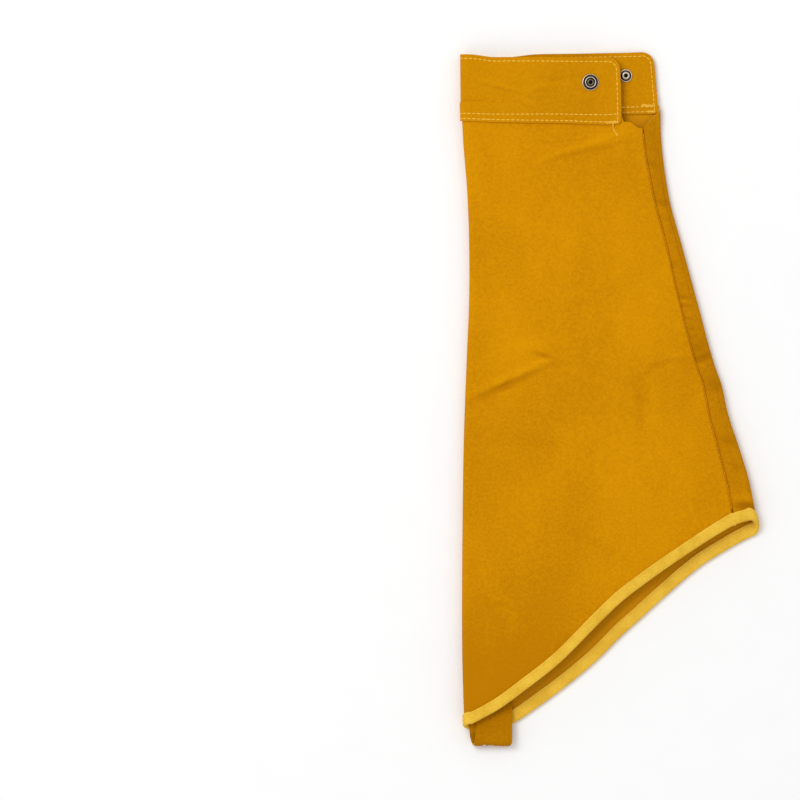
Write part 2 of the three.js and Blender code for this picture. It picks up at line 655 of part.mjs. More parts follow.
function tieLoop() {
  const hem = hemAt(faceAt(LOWER, loopInset + loopWidth / 2, longSide));
  const line = LOOP_LINE.map(({ out, up }) => new THREE.Vector2(out * loopLength, up * loopHeight));
  const face = (sign) =>
    LOOP_LINE.map(({ aside }, i) => {
      const before = line[Math.max(i - 1, 0)];
      const after = line[Math.min(i + 1, line.length - 1)];
      const along = after.clone().sub(before).normalize();
      const spot = line[i].clone().addScaledVector(new THREE.Vector2(along.y, -along.x), (sign * loopThickness) / 2);
      return [0, 1].map((share) => {
        const x = loopInset + (aside + share) * loopWidth;
        return new THREE.Vector3(x, -(hem + spot.x), spot.y);
      });
    });
  return slab(face(-1), face(1));
}

// A turned snap part. Its profile is radius and height over the middle of the flap.
function turned(profile) {
  const points = profile.map(([radius, z]) => new THREE.Vector2(radius, z));
  const geometry = new THREE.LatheGeometry(points, LATHE_SIDES);
  geometry.rotateX(Math.PI / 2);
  return geometry;
}

const hole = barrelRadius + clearance;
const seat = flapHalf + clearance; // a plate's face on the leather
const plateTop = seat + plateThickness;

function snapSocket() {
  const rim = plateTop + collarHeight;
  const wall = 0.75;
  return turned([
    [hole, seat],
    [socketRadius, seat],
    [socketRadius, plateTop - 0.3],
    [socketRadius - 0.35, plateTop],
    [collarRadius + 0.2, plateTop + 0.1],
    [collarRadius, rim - 0.3],
    [collarRadius - 0.25, rim],
    [collarRadius - wall, rim],
    [collarRadius - wall - 0.2, rim - 0.3],
    [collarRadius - wall, plateTop],
    [hole, plateTop],
    [hole, seat],
  ]);
}

function snapPost() {
  const roll = plateTop + clearance;
  return turned([
    [0, -plateTop],
    [postRadius - 0.5, -plateTop],
    [postRadius, -plateTop + 0.35],
    [postRadius, -seat],
    [barrelRadius, -seat],
    [barrelRadius, roll],
    [rollRadius - 0.1, roll],
    [rollRadius, roll + rollHeight / 2],
    [rollRadius - 0.3, roll + rollHeight],
    [barrelRadius - 0.3, roll + rollHeight],
    [barrelBore, roll + rollHeight / 2],
    [barrelBore, -seat - 0.1],
    [0, -seat - 0.1],
  ]);
}

function snapStud() {
  const top = plateTop + knobHeight;
  return turned([
    [hole, seat],
    [studRadius, seat],
    [studRadius, plateTop - 0.3],
    [studRadius - 0.3, plateTop],
    [knobRadius + 0.15, plateTop + 0.1],
    [knobRadius - 0.3, plateTop + knobHeight * 0.4],
    [knobRadius, plateTop + knobHeight * 0.75],
    [knobRadius - 0.25, top],
    [hole, top],
    [hole, seat],
  ]);
}

function snapCap() {
  const roll = plateTop + knobHeight + clearance;
  const floor = -seat - capRise;
  return turned([
    [0, floor],
    [capRadius * 0.5, floor + 0.1],
    [capRadius * 0.85, floor + capRise * 0.35],
    [capRadius, floor + capRise * 0.75],
    [capRadius, -seat],
    [barrelRadius, -seat],
    [barrelRadius, roll],
    [rollRadius, roll],
    [rollRadius + 0.1, roll + rollHeight / 2],
    [rollRadius - 0.2, roll + rollHeight],
    [barrelRadius - 0.3, roll + rollHeight],
    [barrelBore, roll + rollHeight / 2],
    [barrelBore, -seat - 0.1],
    [0, -seat - 0.1],
  ]);
}

// Where a snap sits: the middle of the flat patch that the strips keep for it, and the patch's upward direction.
function snapSeat(part, { x, down }) {
  const corner = (right, below) => pointAt(faceAt(part, x + right * plateau, cuffLevel), down + below * plateau);
  const [a, b, c, d] = [corner(-1, 1), corner(1, -1), corner(1, 1), corner(-1, -1)];
  const centre = a.clone().add(b).add(c).add(d).divideScalar(4);
  const up = b.clone().sub(a).cross(d.clone().sub(c)).normalize();
  if (up.z < 0) up.negate();
  return new THREE.Matrix4().compose(
    centre,
    new THREE.Quaternion().setFromUnitVectors(new THREE.Vector3(0, 0, 1), up),
    new THREE.Vector3(1, 1, 1),
  );
}

const upperSeat = snapSeat(UPPER, snapAt.upper);
const lowerSeat = snapSeat(LOWER, snapAt.lower);

function toSolid(geometry) {
  const bare = new THREE.BufferGeometry();
  bare.setAttribute("position", geometry.getAttribute("position").clone());
  if (geometry.index) bare.setIndex(geometry.index.clone());
  const merged = mergeVertices(bare, 1e-4);
  const mesh = new wasm.Mesh({
    numProp: 3,
    vertProperties: Float32Array.from(merged.attributes.position.array),
    triVerts: Uint32Array.from(merged.index.array),
  });
  return new wasm.Manifold(mesh);
}

function fromSolid(solid) {
  const mesh = solid.getMesh();
  const geometry = new THREE.BufferGeometry();
  geometry.setAttribute("position", new THREE.BufferAttribute(Float32Array.from(mesh.vertProperties), 3));
  geometry.setIndex(new THREE.BufferAttribute(Uint32Array.from(mesh.triVerts), 1));
  return geometry;
}

// The barrels' holes, punched through a strip.
function punched(strip) {
  const reach = 2 * (flapHalf + ply);
  const holes = [upperSeat, lowerSeat].map((seatAt) => {
    const punch = new THREE.CylinderGeometry(hole, hole, reach, 12);
    return toSolid(punch.rotateX(Math.PI / 2).applyMatrix4(seatAt));
  });
  return fromSolid(toSolid(strip).subtract(holes[0]).subtract(holes[1]));
}

const sleeve = new THREE.Group();
sleeve.name = "welding_sleeve";

function add(name, geometry, color, roughness, metalness = 0) {
  const mesh = new THREE.Mesh(geometry, new THREE.MeshStandardMaterial({ color, roughness, metalness }));
  mesh.name = name;
  sleeve.add(mesh);
}

add("front_panel", upperPanel(), "#cc8800", 0.9);
add("back_panel", lowerPanel(), "#c68300", 0.9);
add("cuff_band_outer", punched(bandStrip(1)), "#cd8b02", 0.9);
add("cuff_band_inner", punched(bandStrip(-1)), "#cb8d03", 0.9);
add("hem_binding", hemTape(), "#e6bc40", 0.85);
add("tie_loop", tieLoop(), "#b27604", 0.9);
add("snap_socket", snapSocket().applyMatrix4(upperSeat), "#5d5346", 0.4, 0.9);
add("snap_post", snapPost().applyMatrix4(upperSeat), "#5d5346", 0.4, 0.9);
add("snap_stud", snapStud().applyMatrix4(lowerSeat), "#5d5346", 0.4, 0.9);
add("snap_cap", snapCap().applyMatrix4(lowerSeat), "#5d5346", 0.4, 0.9);

// The origin is the middle of the sleeve's bounding box, on the table.
sleeve.updateMatrixWorld(true);
const box = new THREE.Box3().setFromObject(sleeve, true);
const middle = box.getCenter(new THREE.Vector3());
for (const mesh of sleeve.children) mesh.geometry.translate(-middle.x, -middle.y, -box.min.z);

export default sleeve;
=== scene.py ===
"""One leather welding sleeve, lying flat: golden suede tube, snap cuff, taped hem and tie loop.

The sleeve's own pattern is in millimetres. Across is the distance from the outside of the long
folded side, down is the distance below the cuff's top. A part is one run of the tube's skin, and a
share is a place along it: upper face, long fold, lower face, short fold and strip, in that order.
The finished meshes are in metres in the row frame.
"""

import math

import bpy
import numpy as np
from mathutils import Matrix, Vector


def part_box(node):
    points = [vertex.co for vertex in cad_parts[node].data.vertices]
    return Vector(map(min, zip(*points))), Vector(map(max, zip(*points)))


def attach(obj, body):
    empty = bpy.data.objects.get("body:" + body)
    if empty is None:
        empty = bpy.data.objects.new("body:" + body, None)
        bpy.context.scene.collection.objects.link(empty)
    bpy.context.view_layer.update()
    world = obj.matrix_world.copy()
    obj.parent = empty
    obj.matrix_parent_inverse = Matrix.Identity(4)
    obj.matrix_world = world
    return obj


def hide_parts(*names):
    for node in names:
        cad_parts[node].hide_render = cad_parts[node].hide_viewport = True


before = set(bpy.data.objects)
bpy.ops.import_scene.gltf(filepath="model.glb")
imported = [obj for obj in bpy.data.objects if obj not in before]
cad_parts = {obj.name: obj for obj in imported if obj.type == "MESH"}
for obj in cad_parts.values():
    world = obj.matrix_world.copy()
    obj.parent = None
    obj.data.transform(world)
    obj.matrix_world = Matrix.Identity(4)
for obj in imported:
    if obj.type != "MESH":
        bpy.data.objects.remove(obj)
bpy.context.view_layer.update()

PER_METRE = 1000

# The tube: its folded sides, its widths, its height, its leather and its two seams.
LONG_SIDE, SHORT_SIDE = 571.0, 395.0
WRIST, SHOULDER, PUFF = 170.0, 256.0, 14.0
LEATHER, GAP = 1.4, 0.3
SEAM_IN, ALLOWANCE = 17.2, 7.0
LAP_CUFF, LAP_HEM, UNDERLAP = 8.0, 18.0, 12.0
# The cuff: its height and strips, its flaps' ends and corners, and the slit below them.
BAND, STRIP_THICK, BAND_LAP = 57.0, 1.4, 14.0
UPPER_END, LOWER_END, CORNER, HEEL = 137.4, 168.5, 10.0, 3.0
CORNER_STEPS = (0, 0.35, 0.9, 1.7, 2.8, 4.2, 6.2, 8.2, CORNER)
UPRIGHT = 0.045  # the front flap's end stands this much straighter than the short side leans
SLIT, NOTCH_RUN, PANEL_CORNER = 65.0, 16.0, 59.5
# The tape and the tie loop.
TAPE, TAPE_UNDER, TAPE_THICK, TAPE_GAP = 8.0, 9.0, 0.9, 0.35
LOOP_WIDE, LOOP_LONG, LOOP_HIGH, LOOP_THICK, LOOP_IN = 32.0, 42.0, 11.0, 1.4, 13.0
LOOP_CORNER, LOOP_FOLD = 4.2, 0.333
# The press snaps.
BARREL, BORE, PLATE = 2.2, 1.5, 0.7
SOCKET, COLLAR, COLLAR_HIGH = 6.95, 4.75, 1.25
ROLL, ROLL_HIGH, POST = 2.75, 0.65, 5.6
STUD, KNOB, KNOB_HIGH, CAP, CAP_RISE = 5.5, 3.35, 2.0, 6.6, 1.7
UPPER_SNAP, LOWER_SNAP = (25.0, 21.0), (25.3, 20.2)  # in from the flap's end, down from its top
# The stitches: how far apart they lie, and where their rows run.
STITCH_PITCH, LAP_PITCH, SEAM_PITCH, TAPE_PITCH = 4.12, 4.2, 2.7, 3.0
ROWS = ("top", "low", "high")
ROW_TOP = 3.4  # the row along the cuff's top, below its edge
ROWS_UP = {"upper": (2.2, 6.3), "lower": (1.9, 6.2)}  # the low and the high row, above the edge
ROW_CLIMB = 0.0165  # the front flap's high row climbs off the edge by this share of its way
END_ROW = 3.1  # the row down a flap's end, in from that end
GROOVE_DEEP, GROOVE_WIDE = 0.17, 1.2
LAP_ROW, SEAM_ROW = 7.0, 1.05  # the lap's row in from its edge, the seam's thread out from the seam
LOOP_TACK = 26.0  # the bar tack over the loop's ends, up from the hem's lowest point

PLY = LEATHER + GAP
ON_PANEL = (LEATHER + STRIP_THICK) / 2 + GAP
CLOSED = (STRIP_THICK + GAP) / 2
PARTING = 3.0
CUFF_LEVEL = BAND - BAND_LAP
TAPE_OFF = (LEATHER + TAPE_THICK) / 2 + TAPE_GAP
TAPE_REACH = TAPE_GAP + TAPE_THICK
HEM_FLAT = TAPE_UNDER * 1.7
HEM_SLOPE = HEM_FLAT + 24
CUFF_SLOPE = 18.0
CAP_LIFT, CAP_FADE = CAP_RISE + 2 * GAP, 40
PLATEAU, CREASE_FADE = SOCKET + 1.6, 8
SWELL_RISE, SWELL_FALL = (0.9, 3.3), (6, 15)  # off the seam, where the strip's swell comes and goes
FLAP_HALF = CLOSED + STRIP_THICK / 2
HOLE = BARREL + GAP
SEAT = FLAP_HALF + GAP
PLATE_TOP = SEAT + PLATE
# The panels' rows: how many to below the cuff, to the creases, past them, and to the hem's slope.
BELOW_CUFF, CREASES_FROM, CREASES_TO = 100, 242, 292
FRONT_ROWS, BACK_ROWS = (24, 40, 52, 56), (10, 95, 34, 110)

# The pattern's lines, as (place, value, ...) rows of shares.
LONG_EDGE = [
    (0.0, 0.014), (0.1, 0.019), (0.135, 0.025), (0.205, 0.044), (0.28, 0.054), (0.37, 0.054),
    (0.443, 0.044), (0.562, 0.029), (0.634, 0.024), (0.9, 0.02), (1.0, 0.03),
]
SHORT_EDGE = [
    (0.0, -0.035), (0.125, 0.01), (0.19, 0.021), (0.262, 0.058), (0.332, 0.116), (0.4, 0.203),
    (0.538, 0.376), (0.676, 0.55), (0.715, 0.614), (0.779, 0.68), (0.848, 0.784), (0.916, 0.88),
    (0.97, 0.932), (1.02, 0.972), (1.1, 0.99),
]
SEAM_LINE = [
    (0.1, 0.95), (0.2, 0.93), (0.3, 0.83), (0.41, 0.84), (0.53, 0.95), (0.75, 1.0), (0.82, 1.08),
    (0.89, 1.18), (0.98, 1.21), (1.1, 1.21),
]
UPPER_HEM = [
    (0.02, 1.01), (0.07, 0.974), (0.136, 0.92), (0.219, 0.832), (0.336, 0.697), (0.468, 0.505),
    (0.535, 0.411), (0.601, 0.335), (0.734, 0.198), (0.867, 0.073), (0.92, 0.031), (0.966, 0.012),
]
LOWER_HEM = [
    (0.017, 1.018), (0.1, 1.03), (0.176, 0.997), (0.269, 0.909), (0.385, 0.782), (0.468, 0.678),
    (0.535, 0.58), (0.601, 0.493), (0.668, 0.404), (0.8, 0.24), (0.867, 0.176), (0.933, 0.121),
    (0.985, 0.082),
]
# Place, how far the strip puffs up beside the plain seam, in millimetres.
SEAM_SWELL = [
    (0.16, 1.9), (0.45, 1.9), (0.54, 1.3), (0.63, 1.1), (0.73, 2.1), (0.93, 2.2), (0.975, 3.0),
    (1.1, 3.1),
]
# Place, upper flap's top and bottom, lower flap's top and bottom.
BAND_EDGES = [
    (0.0, 0.035, 1.03, 0.035, 1.03), (0.08, 0.046, 1.04, 0.055, 1.028),
    (0.165, 0.08, 1.051, 0.077, 1.026), (0.25, 0.081, 1.056, 0.077, 1.02),
    (0.38, 0.081, 1.061, 0.035, 1.009), (0.52, 0.086, 1.068, 0.025, 0.99),
    (0.65, 0.089, 1.082, 0.021, 0.96), (0.75, 0.09, 1.086, 0.017, 0.94),
    (0.82, 0.09, 1.066, 0.014, 0.93), (0.98, 0.09, 1.05, 0.0, 0.918),
]
# Place, depth of the long fold, height of the middle and of the seam, depth of the short fold.
HEIGHTS = [
    (0.0, 0.74, 1.0, 0.86, 0.3), (0.11, 0.7, 1.0, 0.84, 0.3), (0.22, 0.66, 1.02, 0.82, 0.44),
    (0.45, 0.66, 1.0, 0.84, 0.56), (0.7, 0.74, 1.1, 1.0, 0.74), (1.0, 0.82, 1.26, 1.1, 0.8),
]
# Across, down, width, length, turn, rise of the soft dents and swells of the upper face.
DENTS = [
    (0.24, 0.6, 0.3, 0.03, 4, -0.06), (0.42, 0.3, 0.22, 0.07, -20, 0.08),
    (0.12, 0.42, 0.09, 0.16, 5, -0.06), (0.52, 0.47, 0.18, 0.05, 30, 0.07),
    (0.18, 0.8, 0.09, 0.13, -8, -0.07), (0.42, 0.7, 0.17, 0.05, 35, 0.06),
]
# Fine creases of the suede: across, down, half length, half width, turn from across, height, in
# millimetres. Their heights are also painted into the suede's colour: painted shade in the valleys,
# painted light on the ridges.
CREASES = {
    "upper": [
        (46, 280.3, 27, 2.9, -24, -1.3), (46.5, 274.6, 27, 3.4, -24, 0.7),
        (43, 277.5, 8, 2.6, -58, -0.5), (40, 284.5, 9, 2.2, -10, -0.5),
        (71, 257.6, 10, 1.9, 17, -1.0), (71, 262.4, 9, 2.0, -8, 0.6), (24, 291, 16, 4.0, -30, -0.4),
        (60, 249, 22, 6.0, -8, 0.35), (176, 264, 16, 2.6, -12, -0.45),
        (160, 272, 12, 2.4, -40, -0.3), (153, 300, 26, 3.4, 88, -0.3), (165, 290, 24, 5.0, 84, 0.3),
        (36.6, 28.6, 20, 1.6, 15, 0.42), (36.6, 31.8, 20, 1.5, 15, -0.34),
        (66, 30, 9, 1.6, -23, 0.36), (72, 33, 8, 1.6, 0, -0.42), (89, 27.8, 14, 1.6, 3, 0.36),
        (86, 22.6, 14, 2.0, -8, -0.36), (53.6, 40, 10, 1.5, 27, 0.3),
        (51.8, 43.2, 10, 1.5, 27, -0.3), (100, 36, 16, 1.6, 14, 0.22),
        (112, 77, 32, 3.2, -18, 0.55), (107, 85, 34, 2.2, -14, -0.5), (122, 84, 12, 1.6, -24, -0.3),
        (72, 92, 14, 2.6, -28, 0.25), (58, 62, 7, 2.4, 20, -0.3), (22, 84, 15, 4.0, 70, -0.25),
        (18, 122, 22, 5.0, 82, 0.25), (70, 150, 45, 6.0, 18, 0.2), (120, 205, 40, 5.0, -24, -0.18),
        (60, 330, 50, 6.0, 12, -0.2), (150, 300, 34, 5.0, 38, 0.18), (40, 470, 30, 6.0, 60, 0.22),
        (110, 415, 34, 5.0, 30, -0.2), (190, 345, 22, 4.0, 52, -0.2), (188, 257, 9, 2.4, -8, 0.35),
    ],
    "strip": [
        (205, 260.5, 9, 2.0, -20, -3.2), (204, 265.5, 9, 2.2, -17, 0.6),
        (203, 251, 8, 4.5, -10, -0.7), (189.5, 208.5, 6, 1.4, 6, -1.1),
        (190.5, 215, 6, 1.4, 4, -1.1), (190, 212, 6, 1.2, 5, 0.6), (194, 226, 5, 1.3, 8, -0.6),
        (196, 235, 5, 1.3, 4, -0.6), (198, 242, 5, 1.2, 0, -0.5), (244, 385.5, 9, 2.4, 4, -3.0),
        (243, 378, 9, 3.0, 2, 0.9), (216, 283, 9, 5.0, 10, -0.8), (165, 96, 6, 2.2, 30, -0.7),
        (172, 128, 7, 2.4, 16, -0.8), (171, 134, 6, 2.0, 12, 0.5), (181, 180, 6, 2.6, 20, -0.7),
        (228, 330, 8, 4.0, 16, -0.8), (235, 352, 8, 3.0, 24, -0.6),
    ],
}
# The loop's middle line, from the lower layer's sewn end to the upper layer's: out past the hem, up
# and aside, as shares of its length, its height and its width.
LOOP_LINE = [
    (-0.667, 0.432, 0.0), (-0.405, 0.5, -0.05), (-0.274, 0.605, -0.1), (0.052, 0.605, -0.12),
    (0.13, 0.42, -0.12), (0.2, 0.24, -0.1), (0.262, 0.19, -0.08), (0.31, 0.28, -0.05),
    (0.333, 0.52, -0.03), (0.315, 0.77, -0.01), (0.262, 0.92, 0.01), (0.15, 0.94, 0.025),
    (0.04, 0.83, 0.035), (-0.1, 0.77, 0.045), (-0.274, 0.76, 0.03), (-0.405, 0.655, 0.0),
    (-0.667, 0.587, 0.0),
]


def mix(a, b, share):
    return a + (b - a) * share


def smooth(low, high, v):
    share = np.clip((np.asarray(v, float) - low) / (high - low), 0.0, 1.0)
    return share * share * (3 - 2 * share)


def line_through(table, column=1):
    """A smooth line through one column of a table, carried on straight past its ends."""
    keys = np.array([row[0] for row in table])
    values = np.array([row[column] for row in table])
    slopes = np.diff(values) / np.diff(keys)
    tangents = (np.append(slopes[0], slopes) + np.append(slopes, slopes[-1])) / 2

    def at(place):
        place = np.asarray(place, float)
        i = np.clip(np.searchsorted(keys, place, side="right") - 1, 0, len(keys) - 2)
        span = keys[i + 1] - keys[i]
        t = np.clip((place - keys[i]) / span, 0, 1)
        inside = (
            values[i] * (1 + 2 * t) * (1 - t) ** 2
            + tangents[i] * span * t * (1 - t) ** 2
            + values[i + 1] * t * t * (3 - 2 * t)
            - tangents[i + 1] * span * t * t * (1 - t)
        )
        before = np.minimum(place - keys[0], 0) * tangents[0]
        after = np.maximum(place - keys[-1], 0) * tangents[-1]
        return inside + before + after

    return at


def lines_through(table, *names):
    return {name: line_through(table, k + 1) for k, name in enumerate(names)}


long_edge_in = line_through(LONG_EDGE)
short_edge_out = line_through(SHORT_EDGE)
seam_in = line_through(SEAM_LINE)
seam_swell = line_through(SEAM_SWELL)
hem_shares = {"upper": line_through(UPPER_HEM), "lower": line_through(LOWER_HEM)}
band_lines = lines_through(BAND_EDGES, "utop", "ubot", "ltop", "lbot")
height_lines = lines_through(HEIGHTS, "long", "middle", "seam", "short")


def band_edge(name, x):
    return band_lines[name](np.asarray(x) / WRIST) * BAND


def band_top(flap, x):
    return float(band_edge("utop" if flap == "upper" else "ltop", x))


def band_bottom(flap, x):
    return float(band_edge("ubot" if flap == "upper" else "lbot", x))


def height_of(name, down):
    return height_lines[name](np.asarray(down) / LONG_SIDE) * PUFF


def long_edge(down):
    return long_edge_in(np.asarray(down) / LONG_SIDE) * WRIST


def short_edge(down):
    return WRIST - LEATHER / 2 + short_edge_out(np.asarray(down) / SHORT_SIDE) * (SHOULDER - WRIST)


def seam_at(down):
    return short_edge(down) - SEAM_IN * seam_in(np.asarray(down) / SHORT_SIDE) + LEATHER / 2


def long_radius(down):
    return height_of("long", down) / 2


def short_radius(down):
    return height_of("short", down) / 2


SNAPS = {
    "upper": (UPPER_END - UPPER_SNAP[0], band_top("upper", UPPER_END) + UPPER_SNAP[1]),
    "lower": (LOWER_END - LOWER_SNAP[0], band_top("lower", LOWER_END) + LOWER_SNAP[1]),
}


def across(part, share, down):
    left, right = long_edge(down), short_edge(down)
    bulge = 1 - np.sin(np.asarray(share) * math.pi)
    if part == "upper":
        return mix(seam_at(down), left + long_radius(down), share)
    if part == "long_fold":
        return left + long_radius(down) * bulge
    if part == "lower":
        return mix(left + long_radius(down), right - short_radius(down), share)
    if part == "short_fold":
        return right - short_radius(down) * bulge
    return mix(right - short_radius(down), seam_at(down), share)


def share_at(part, x, down):
    """The share of the upper or the lower face at that distance across."""
    start, end = across(part, 0.0, down), across(part, 1.0, down)
    return (np.asarray(x) - start) / (end - start)


def hem_table():
    """How far down the panels' hem lies, for a row of shares of each part."""
    shares = np.linspace(0, 1, 81)
    lines = {}
    for part in ("upper", "lower", "strip"):
        edge = hem_shares["lower" if part == "lower" else "upper"]
        reach = lambda x: mix(SHORT_SIDE, LONG_SIDE, edge(x / SHOULDER))
        down = np.full_like(shares, (LONG_SIDE + SHORT_SIDE) / 2)
        for _ in range(60):
            x = across(part, shares, down)
            slope = (reach(x + 1) - reach(x - 1)) / 2
            down = mix(down, reach(x) - TAPE_REACH * np.hypot(1, slope), 0.5)
        lines[part] = down
    turned = (1 - np.cos(shares * math.pi)) / 2
    lines["long_fold"] = mix(lines["upper"][-1], lines["lower"][0], turned)
    lines["short_fold"] = mix(lines["lower"][-1], lines["strip"][0], turned)
    return shares, lines


HEM_SHARES, HEM_LINES = hem_table()


def hem_at(part, share):
    return np.interp(share, HEM_SHARES, HEM_LINES[part])


def parted_at(edge, down):
    split = edge - BAND_LAP - GAP
    return smooth(-PARTING, 0, down - split)


def lower_height(x, down, hem):
    edge = band_edge("lbot", x)
    on_panel = mix(CLOSED, ON_PANEL, parted_at(edge, down))
    on_band = mix(on_panel, 0, smooth(1, CUFF_SLOPE, down - edge))
    on_tape = TAPE_REACH * (1 - smooth(HEM_FLAT, HEM_SLOPE, hem - down))
    away = np.hypot(x - SNAPS["lower"][0], down - SNAPS["lower"][1])
    over_cap = CAP_LIFT * (1 - smooth(PLATEAU, PLATEAU + CAP_FADE, away))
    return LEATHER / 2 + on_band + on_tape + over_cap


def long_base(down, hem):
    x = long_edge(down)
    return lower_height(x, down, hem) + PLY * parted_at(band_edge("lbot", x), down)


def creases(part, x, down):
    total = np.zeros(np.broadcast(x, down).shape)
    for cx, cy, long, wide, turn, rise in CREASES[part]:
        angle = math.radians(turn)
        u = ((x - cx) * math.cos(angle) + (down - cy) * math.sin(angle)) / long
        v = ((down - cy) * math.cos(angle) - (x - cx) * math.sin(angle)) / wide
        total = total + rise * np.exp(-u * u - v * v)
    return total


def upper_height(share, x, down, hem):
    seam = height_of("seam", down)
    fold = long_base(down, hem) + 2 * long_radius(down)
    crown = 4 * share * (1 - share)
    z = mix(seam, fold, share) + crown * (height_of("middle", down) - (seam + fold) / 2)
    for ax, dn, wide, long, turn, rise in DENTS:
        angle = math.radians(turn)
        right, below = x - ax * SHOULDER, down - dn * LONG_SIDE
        u = (right * math.cos(angle) + below * math.sin(angle)) / (wide * SHOULDER)
        v = (below * math.cos(angle) - right * math.sin(angle)) / (long * LONG_SIDE)
        z = z + rise * PUFF * np.clip(crown, 0, 1) * np.exp(-u * u - v * v)
    off_snap = np.hypot(x - SNAPS["upper"][0], down - SNAPS["upper"][1])
    off_snap = smooth(PLATEAU, PLATEAU + CREASE_FADE, off_snap)
    return z + creases("upper", x, down) * off_snap


def height_at(part, share, down):
    hem = hem_at(part, share)
    x = across(part, share, down)
    if part == "upper":
        return upper_height(share, x, down, hem)
    if part == "long_fold":
        return long_base(down, hem) + long_radius(down) * (1 + np.cos(np.asarray(share) * math.pi))
    if part == "lower":
        return lower_height(x, down, hem)
    base = lower_height(short_edge(down) - short_radius(down), down, hem)
    if part == "short_fold":
        turned = (1 - np.cos(np.asarray(share) * math.pi)) / 2
        return base + 2 * short_radius(down) * turned + creases("strip", x, down) * turned * 0.5
    top = mix(base + 2 * short_radius(down), height_of("seam", down) - 2 * PLY, smooth(0, 1, share))
    off_seam = x - seam_at(down)
    swell = seam_swell(np.asarray(down) / SHORT_SIDE)
    top = top + swell * smooth(*SWELL_RISE, off_seam) * (1 - smooth(*SWELL_FALL, off_seam))
    return top + creases("strip", x, down) * mix(0.5, 0.25, smooth(0, 1, share))


def point_at(part, share, down):
    share, down = np.broadcast_arrays(np.asarray(share, float), np.asarray(down, float))
    return np.stack([across(part, share, down), -down, height_at(part, share, down)], -1)


def normal_at(part, share, down):
    aside, below = 0.002, 0.4
    around = point_at(part, share + aside, down) - point_at(part, share - aside, down)
    ahead = point_at(part, share, down + below) - point_at(part, share, down - below)
    normal = np.cross(around, ahead)
    return normal / np.linalg.norm(normal, axis=-1, keepdims=True)


def off_tube(part, share, down, offset):
    away = normal_at(part, share, down) * np.asarray(offset)[..., None]
    return point_at(part, share, down) + away


def snap_seat(part, spot):
    """The middle of the flat patch under a snap, and its upward direction."""
    x, down = spot
    offsets = ((-1, 1), (1, -1), (1, 1), (-1, -1))
    share = lambda right: float(share_at(part, x + right * PLATEAU, CUFF_LEVEL))
    a, b, c, d = (point_at(part, share(r), down + k * PLATEAU) for r, k in offsets)
    up = np.cross(b - a, d - c)
    return (a + b + c + d) / 4, up if up[2] > 0 else -up


# The snap's cap ties the pattern to the row frame.
SEATS = {flap: snap_seat(flap, spot) for flap, spot in SNAPS.items()}
cap_low, cap_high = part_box("snap_cap")
cap_middle = (np.array(cap_low) + np.array(cap_high)) / 2 * PER_METRE
SHIFT = np.append(cap_middle[:2] - SEATS["lower"][0][:2], 0.0)
NEAR_FLAP = float(share_at("upper", UPPER_END + 1.5, CUFF_LEVEL))
UNDER_FLAP = float(share_at("upper", UPPER_END - 3, CUFF_LEVEL))
NEAR_EDGE = band_bottom("upper", UPPER_END)


def to_row(points):
    """Pattern millimetres to row-frame metres."""
    return (np.asarray(points, float) + SHIFT) / PER_METRE


def lap_inset(down):
    return mix(LAP_CUFF, LAP_HEM, np.clip(np.asarray(down) / LONG_SIDE, 0, 1))


def make_mesh(name, points, faces, materials, attributes=(), sharp=35):
    """A mesh object at the origin. attributes holds (name, domain, values)."""
    mesh = bpy.data.meshes.new(name)
    mesh.from_pydata(points.tolist(), [], faces)
    for label, domain, values in attributes:
        layer = mesh.attributes.new(label, "FLOAT", domain)
        layer.data.foreach_set("value", np.asarray(values, np.float32).ravel())
    for material in materials:
        mesh.materials.append(material)
    mesh.polygons.foreach_set("use_smooth", [True] * len(mesh.polygons))
    mesh.set_sharp_from_angle(angle=math.radians(sharp))
    mesh.update()
    obj = bpy.data.objects.new(name, mesh)
    bpy.context.scene.collection.objects.link(obj)
    return obj


def slab(name, outer, inner, materials, ring=False, extra=None):
    """A closed sheet between two grids of points, by column, then row. Its rim is marked cut."""
    columns, rows = outer.shape[:2]
    pattern = np.concatenate([outer.reshape(-1, 3), inner.reshape(-1, 3)])
    grid = np.arange(columns * rows).reshape(columns, rows)
    grid = np.vstack([grid, grid[:1]]) if ring else grid
    back = grid + columns * rows

    def quads(a, b, c, d):
        return np.stack([a.ravel(), b.ravel(), c.ravel(), d.ravel()], 1)

    skin = [
        quads(grid[:-1, :-1], grid[1:, :-1], grid[1:, 1:], grid[:-1, 1:]),
        quads(back[:-1, :-1], back[:-1, 1:], back[1:, 1:], back[1:, :-1]),
    ]
    rim = [
        quads(grid[:-1, 0], back[:-1, 0], back[1:, 0], grid[1:, 0]),
        quads(grid[:-1, -1], grid[1:, -1], back[1:, -1], back[:-1, -1]),
    ]
    if not ring:
        rim.append(quads(grid[0, :-1], grid[0, 1:], back[0, 1:], back[0, :-1]))
        rim.append(quads(grid[-1, :-1], back[-1, :-1], back[-1, 1:], grid[-1, 1:]))
    skin, rim = np.vstack(skin), np.vstack(rim)
    attributes = [
        ("cut", "FACE", np.r_[np.zeros(len(skin)), np.ones(len(rim))]),
        ("across", "POINT", pattern[:, 0]),
        ("down", "POINT", -pattern[:, 1]),
        ("inside", "POINT", np.repeat([0.0, 1.0], columns * rows)),
    ]
    for label, values in (extra or {}).items():
        attributes.append((label, "POINT", np.r_[values.ravel(), values.ravel()]))
    faces = np.vstack([skin, rim]).tolist()
    return make_mesh(name, to_row(pattern), faces, materials, attributes)


def sheet_from(name, columns, thickness, materials, part="upper"):
    """A sheet from columns of (place by down and aside, rows), with a part's creases painted on as
    shade and light.
    """
    outer = np.stack([at(rows, thickness / 2) for at, rows in columns])
    inner = np.stack([at(rows, -thickness / 2) for at, rows in columns])
    crease_shade_tint = creases(part, outer[..., 0], -outer[..., 1])
    return slab(name, outer, inner, materials, extra={"crease_shading": crease_shade_tint})


